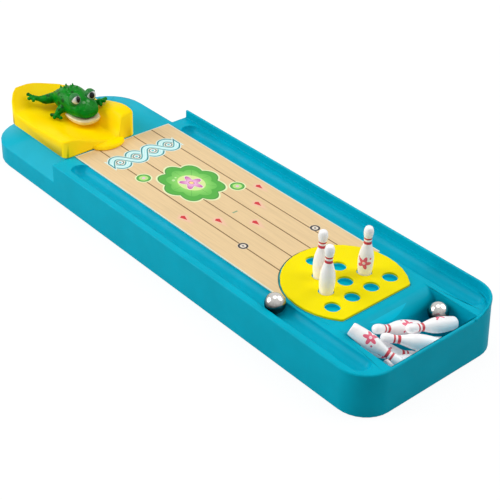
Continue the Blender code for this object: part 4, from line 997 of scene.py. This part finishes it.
def wart_tree(material):
    """Geometry nodes that make a skin slightly uneven and scatter small warts over its upper part."""
    tree = Tree(
        "Warts", ("Geometry", "Geometry"), ("Density", "Float", 0.0), ("Size", "Float", 0.0003),
        ("Least height", "Float", 0.0), ("Unevenness", "Float", 0.0), ("Seed", "Int", WART_SEED),
    )
    given, add = tree.given, tree.add
    lumps = add("ShaderNodeTexNoise", {"Scale": 900, "Detail": 2})
    centred = add("ShaderNodeMath", {0: lumps, 1: 0.5}, operation="SUBTRACT")
    sized = add("ShaderNodeMath", {0: centred, 1: given["Unevenness"]}, operation="MULTIPLY")
    normal = add("GeometryNodeInputNormal")
    shift = add("ShaderNodeVectorMath", {0: normal, "Scale": sized}, operation="SCALE")
    uneven = add("GeometryNodeSetPosition", {"Geometry": given["Geometry"], "Offset": shift})
    height = add("ShaderNodeSeparateXYZ", {0: add("GeometryNodeInputPosition")}, output="Z")
    high = add("FunctionNodeCompare", {0: height, 1: given["Least height"]}, operation="GREATER_THAN")
    points = add(
        "GeometryNodeDistributePointsOnFaces",
        {"Mesh": uneven, "Selection": high, "Density": given["Density"], "Seed": given["Seed"]},
        distribute_method="RANDOM",
    )
    wart = add("GeometryNodeMeshIcoSphere", {"Subdivisions": 2, "Radius": given["Size"]})
    chance = add("FunctionNodeRandomValue", {2: 0.5, 3: 1.25, "Seed": given["Seed"]}, output=1)
    spread = add("GeometryNodeInstanceOnPoints", {"Points": points, "Instance": wart, "Scale": chance})
    tree.close(add("GeometryNodeJoinGeometry", {0: [uneven, spread]}), material)
    return tree


def apart(place, centre):
    """The three distances from a point given in metres."""
    return [axis - value / MM for axis, value in zip(place, centre)]


def skin_finish(settings, shape):
    """Glossy green skin with dark round patches, a painted sheen of paler patches where the back faces up,
    painted glints at the nostrils and a painted shadow along the mouth.
    """
    finish = Finish("figure_skin", IOR=PLASTIC_IOR, Specular_IOR_Level=SKIN_SHINE)
    vector, x, y, z = finish.place()
    flow = finish.cloud(vector, 0.30)
    patches = finish.node("ShaderNodeTexVoronoi", {"feature": "F1"}, vector, Scale=0.20, Randomness=0.9)
    skin = tuple(settings.skin)
    colour = finish.mix(flow.rise(0.3, 0.7), skin, darker(skin, 0.72))
    brow = shape.eyes[0].y / MM
    torso = y.rise(brow + 3, brow + 6)
    colour = finish.mix((1 - patches.rise(0.24, 0.34)) * torso * 0.85, colour, tuple(settings.patches))
    # Painted sheen: pale green patches on parts that face up, where the glossy skin would mirror the bright
    # space above.
    painted_sheen = finish.cloud(vector, 0.55, 4.0).rise(0.58, 0.72)
    normal = finish.node("ShaderNodeNewGeometry", output="Normal")
    facing = finish.node("ShaderNodeSeparateXYZ", None, normal, output="Z")
    colour = finish.mix(painted_sheen * facing.rise(0.2, 0.8) * 0.45, colour, srgb(104, 182, 112))
    paler = [(eye, 3.9, (70, 122, 84)) for eye in shape.eyes]
    # Painted glints: the skin round the nostrils is painted pale, where highlights sit.
    paler += [(nostril, 1.1, (150, 205, 150)) for nostril in shape.nostrils]
    for centre, reach, tone in paler:
        dx, dy, dz = apart((x, y, z), centre)
        colour = finish.band(colour, (dx * dx + dy * dy + dz * dz).root(), reach, tone, 0.5, 0.6)
    # Painted shadow: a dark band on the head just over the mouth, in front of the eyes, where the head
    # overhangs the jaw.
    mouth = shape.mouth / MM
    lip = (1 - z.rise(mouth + 0.5, mouth + 1.8)) * (1 - y.rise(brow - 4, brow + 2))
    colour = finish.mix(lip * 0.85, colour, srgb(0, 58, 20))
    finish.set("Base Color", colour)
    finish.set("Roughness", 0.30 + (flow - 0.5) * 0.16)
    finish.bump(finish.cloud(vector, 3.0, 2.0), 0.25, 0.00006)
    return finish.material


def belly_finish(settings):
    """Cream plastic, faintly clouded."""
    finish = Finish("figure_belly", IOR=1.46, Coat_Weight=0.2, Coat_Roughness=0.2)
    vector = finish.place()[0]
    flow = finish.cloud(vector, 0.25)
    belly = tuple(settings.belly)
    finish.set("Base Color", finish.mix(flow.rise(0.3, 0.7), belly, darker(belly, 0.90)))
    finish.set("Roughness", 0.34 + (flow - 0.5) * 0.1)
    finish.bump(finish.cloud(vector, 1.5, 2.0), 0.12, 0.00005)
    return finish.material


def eye_finish(name, centre, gaze):
    """A glossy white eye with a tall black pupil."""
    finish = Finish(name, IOR=PLASTIC_IOR, Specular_IOR_Level=EYE_SHINE)
    vector, x, y, z = finish.place()
    ahead = Vector(gaze).normalized()
    side = ahead.cross(Vector((0, 0, 1))).normalized()
    top = side.cross(ahead)
    dx, dy, dz = apart((x, y, z), centre)

    def along(direction):
        return dx * direction.x + dy * direction.y + dz * direction.z

    across = along(side) * (1 / 1.6)
    up = along(top) * (1 / 2.0)
    pupil = ((across * across + up * up).root() - 1).most(-along(ahead))
    veil = finish.cloud(vector, 0.4, 2.0)
    colour = finish.mix(veil, srgb(240, 241, 238), srgb(222, 226, 222))
    colour = finish.fill(colour, pupil, (0.28, (150, 158, 152), 0.08, 0.55), (0, (10, 12, 12), 0.06))
    finish.set("Base Color", colour)
    finish.set("Roughness", 0.12 + veil * 0.06)
    return finish.material


class BOWLING_OT_figure(bpy.types.Operator):
    """Sculpt the figure's skin and jaw, and set its eyes"""

    bl_idname = "bowling.figure"
    bl_label = "Figure"

    def execute(self, context):
        settings = context.scene.bowling_figure
        shape = Figure(settings)
        self.make_skin(shape, settings)
        self.make_jaw(shape, settings)
        for centre, (side, gaze) in zip(shape.eyes, GAZES.items()):
            material = eye_finish(f"eye_{side}_finish", centre, gaze)
            eye = round_piece(f"eye_{side}", f"eyeball_{side}", material)
            dress(eye, "figure", f"eye_{side}")
        return {"FINISHED"}

    def make_skin(self, shape, settings):
        bm = bmesh.new()
        add_loft(bm, shape.rings(BODY_SECTION_SHARES, BODY_SECTIONS))
        for name, (chain, toes) in LIMB_SHARES.items():
            stout = ARM_STOUT if name.endswith("arm") else LEG_STOUT
            joints = [shape.joint(entry, stout) for entry in chain]
            for start, end in zip(joints, joints[1:]):
                add_bone(bm, *start, *end)
            foot, foot_radius = joints[-1]
            for toe in toes:
                place, radius = shape.joint(toe, TOE_STOUT)
                place = foot.lerp(place, TOE_REACH)
                add_bone(bm, foot, foot_radius * 0.8, place, radius * 0.85, 5)
                add_ball(bm, place, radius * 1.1)
        for eye in shape.eyes:
            for place, radius in LIDS:
                add_ball(bm, eye + Vector(place), radius)
        for place in shape.nostrils:
            add_ball(bm, place, NOSTRIL_RADIUS)
        for share, wide in CREST_SHARES:
            self.add_spike(bm, shape, share, wide)
        skin = grown("figure_skin_body", bm, settings.voxel, 3)
        self.cut_below(skin, shape)
        wart_tree(skin_finish(settings, shape)).apply(skin, {
            "Density": settings.warts, "Size": WART_RADIUS, "Unevenness": UNEVENNESS, "Seed": WART_SEED,
            "Least height": shape.deck + shape.height * WARTS_FROM,
        })
        dress(skin, "figure", "figure_body")

    def add_spike(self, bm, shape, share, wide):
        """One point of the crest, standing on the back."""
        places, *columns = zip(*BODY_SECTION_SHARES)
        half, top, bottom = (np.interp(share, places, column) for column in columns)
        rise = (top - bottom) / 2 * math.sqrt(max(1 - (wide / half) ** 2, 0))
        foot = Vector((
            shape.middle + wide * shape.half, shape.front + share * shape.length,
            shape.deck + ((top + bottom) / 2 + rise) * shape.height - SPIKE_SINK,
        ))
        lean = Vector((wide * 0.6, 0.25, 1)).normalized()
        add_bone(bm, foot, SPIKE_FOOT, foot + lean * SPIKE_RISE, SPIKE_TIP, 7)

    def cut_below(self, skin, shape):
        """Opens the room of the jaw under the head, and flattens the seat on the rocker."""
        seat_low, seat_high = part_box("rocker")
        chest = seat_low.y + 0.00015
        seat = seat_high.z + 0.0003
        left, right = (shape.middle + side * shape.half * 1.05 for side in (-1, 1))
        cut_away(skin, "mouth_room", (left, -1, -1), (right, chest, shape.mouth))
        cut_away(skin, "seat", (left, chest - 0.0001, -1), (right, 1, seat))

    def make_jaw(self, shape, settings):
        """The jaw, with a lip rolled round its rim and drawn in a little."""
        rings = shape.rings(JAW_SECTION_SHARES, JAW_SECTIONS)
        bm = bmesh.new()
        add_loft(bm, rings)
        lip = settings.lip
        rim = []
        for x, y, z in [min(ring) for ring in reversed(rings)] + [max(ring) for ring in rings]:
            x = shape.middle + (x - shape.middle) * RIM_SHARE
            rim.append(Vector((x, y + lip * 0.7, shape.mouth - lip)))
        for start, end in zip(rim, rim[1:]):
            add_bone(bm, start, lip, end, lip, 2 + int((end - start).length / lip))
        jaw = grown("figure_skin_jaw", bm, settings.voxel, 4)
        cut_away(jaw, "above_mouth", (-1, -1, shape.mouth - 0.00005), (1, 1, 1))
        jaw.data.materials.append(belly_finish(settings))
        dress(jaw, "figure", "figure_jaw")


class BOWLING_OT_stage(bpy.types.Operator):
    """Set the floor, the soft light and the camera"""

    bl_idname = "bowling.stage"
    bl_label = "Stage"

    def execute(self, context):
        scene = context.scene
        scene.view_settings.view_transform = "Standard"
        self.set_world(scene)
        self.add_floor()
        for lamp in LAMPS:
            self.add_lamp(*lamp)
        self.add_camera(scene, scene.bowling_stage)
        return {"FINISHED"}

    def set_world(self, scene):
        """White where the camera or a shiny or clear surface sees it, and dimmer as a source of light."""
        world = bpy.data.worlds.new("studio")
        scene.world = world
        world.use_nodes = True
        nodes, links = world.node_tree.nodes, world.node_tree.links
        shade = nodes["Background"]
        shade.inputs["Color"].default_value = (1, 1, 1, 1)
        path = nodes.new("ShaderNodeLightPath")
        seen = path.outputs["Is Camera Ray"]
        for ray in ("Is Glossy Ray", "Is Transmission Ray"):
            either = nodes.new("ShaderNodeMath")
            either.operation = "MAXIMUM"
            links.new(seen, either.inputs[0])
            links.new(path.outputs[ray], either.inputs[1])
            seen = either.outputs[0]
        strength = nodes.new("ShaderNodeMapRange")
        strength.inputs["To Min"].default_value = SKY_LIGHT
        links.new(seen, strength.inputs["Value"])
        links.new(strength.outputs[0], shade.inputs["Strength"])

    def add_floor(self):
        finish = Finish("pale_floor", Roughness=0.6, Base_Color=(FLOOR_GREY,) * 3, Specular_IOR_Level=0.2)
        path = finish.node("ShaderNodeLightPath", output="Is Camera Ray")
        lit = finish.node("ShaderNodeEmission", None, (1, 1, 1), FLOOR_GLOW)
        plain = Wire(finish, finish.shader.outputs[0])
        mixed = finish.node("ShaderNodeMixShader", None, path * FLOOR_SEEN, plain, lit)
        finish.put(finish.tree.nodes["Material Output"].inputs["Surface"], mixed)
        bm = bmesh.new()
        bmesh.ops.create_grid(bm, x_segments=8, y_segments=8, size=6)
        floor = piece_from("floor", bm, finish.material)
        floor.location.z = -0.0002

    def add_lamp(self, name, place, size, power):
        lamp = bpy.data.lights.new(name, "AREA")
        lamp.shape = "DISK"
        lamp.size = size
        lamp.energy = power
        made = bpy.data.objects.new(name, lamp)
        made.location = place
        made.rotation_euler = (-Vector(place)).to_track_quat("-Z", "Y").to_euler()
        bpy.context.collection.objects.link(made)

    def add_camera(self, scene, settings):
        lens = bpy.data.cameras.new("camera")
        lens.lens = settings.lens
        lens.sensor_width = 36
        made = bpy.data.objects.new("camera", lens)
        bpy.context.collection.objects.link(made)
        turn, drop, roll = settings.turn, settings.drop, settings.roll
        ahead = Vector((math.sin(turn) * math.cos(drop), math.cos(turn) * math.cos(drop), -math.sin(drop)))
        right = Vector((math.cos(turn), -math.sin(turn), 0))
        up = right.cross(ahead)
        tilted = right * math.cos(roll) + up * math.sin(roll)
        top = up * math.cos(roll) - right * math.sin(roll)
        turned = Matrix((tilted, top, -ahead)).transposed()
        made.matrix_world = Matrix.Translation(settings.camera) @ turned.to_4x4()
        scene.camera = made


class BOWLING_PT_pieces(bpy.types.Panel):
    """Lists the pieces and their settings"""

    bl_label = "Tabletop bowling"
    bl_idname = "BOWLING_PT_pieces"
    bl_space_type = "VIEW_3D"
    bl_region_type = "UI"
    bl_category = "Bowling"

    def draw(self, context):
        layout = self.layout
        for key in SETTINGS:
            box = layout.box()
            group = getattr(context.scene, key)
            for prop in group.bl_rna.properties:
                if prop.identifier not in {"rna_type", "name"}:
                    box.prop(group, prop.identifier)
        for operator in OPERATORS:
            layout.operator(operator.bl_idname)


SETTINGS = {
    "bowling_tray": TraySettings,
    "bowling_lane": LaneSettings,
    "bowling_pins": PinSettings,
    "bowling_launcher": LauncherSettings,
    "bowling_figure": FigureSettings,
    "bowling_stage": StageSettings,
}
OPERATORS = (
    BOWLING_OT_tray,
    BOWLING_OT_lane,
    BOWLING_OT_plate,
    BOWLING_OT_pins,
    BOWLING_OT_balls,
    BOWLING_OT_launcher,
    BOWLING_OT_rocker,
    BOWLING_OT_figure,
    BOWLING_OT_stage,
)


def register():
    for group in SETTINGS.values():
        bpy.utils.register_class(group)
    for key, group in SETTINGS.items():
        setattr(bpy.types.Scene, key, bpy.props.PointerProperty(type=group))
    for operator in OPERATORS:
        bpy.utils.register_class(operator)
    bpy.utils.register_class(BOWLING_PT_pieces)


def unregister():
    bpy.utils.unregister_class(BOWLING_PT_pieces)
    for operator in reversed(OPERATORS):
        bpy.utils.unregister_class(operator)
    for key, group in SETTINGS.items():
        delattr(bpy.types.Scene, key)
        bpy.utils.unregister_class(group)


def main():
    register()
    for operator in OPERATORS:
        area, name = operator.bl_idname.split(".")
        getattr(getattr(bpy.ops, area), name)()


if __name__ == "__main__":
    main()
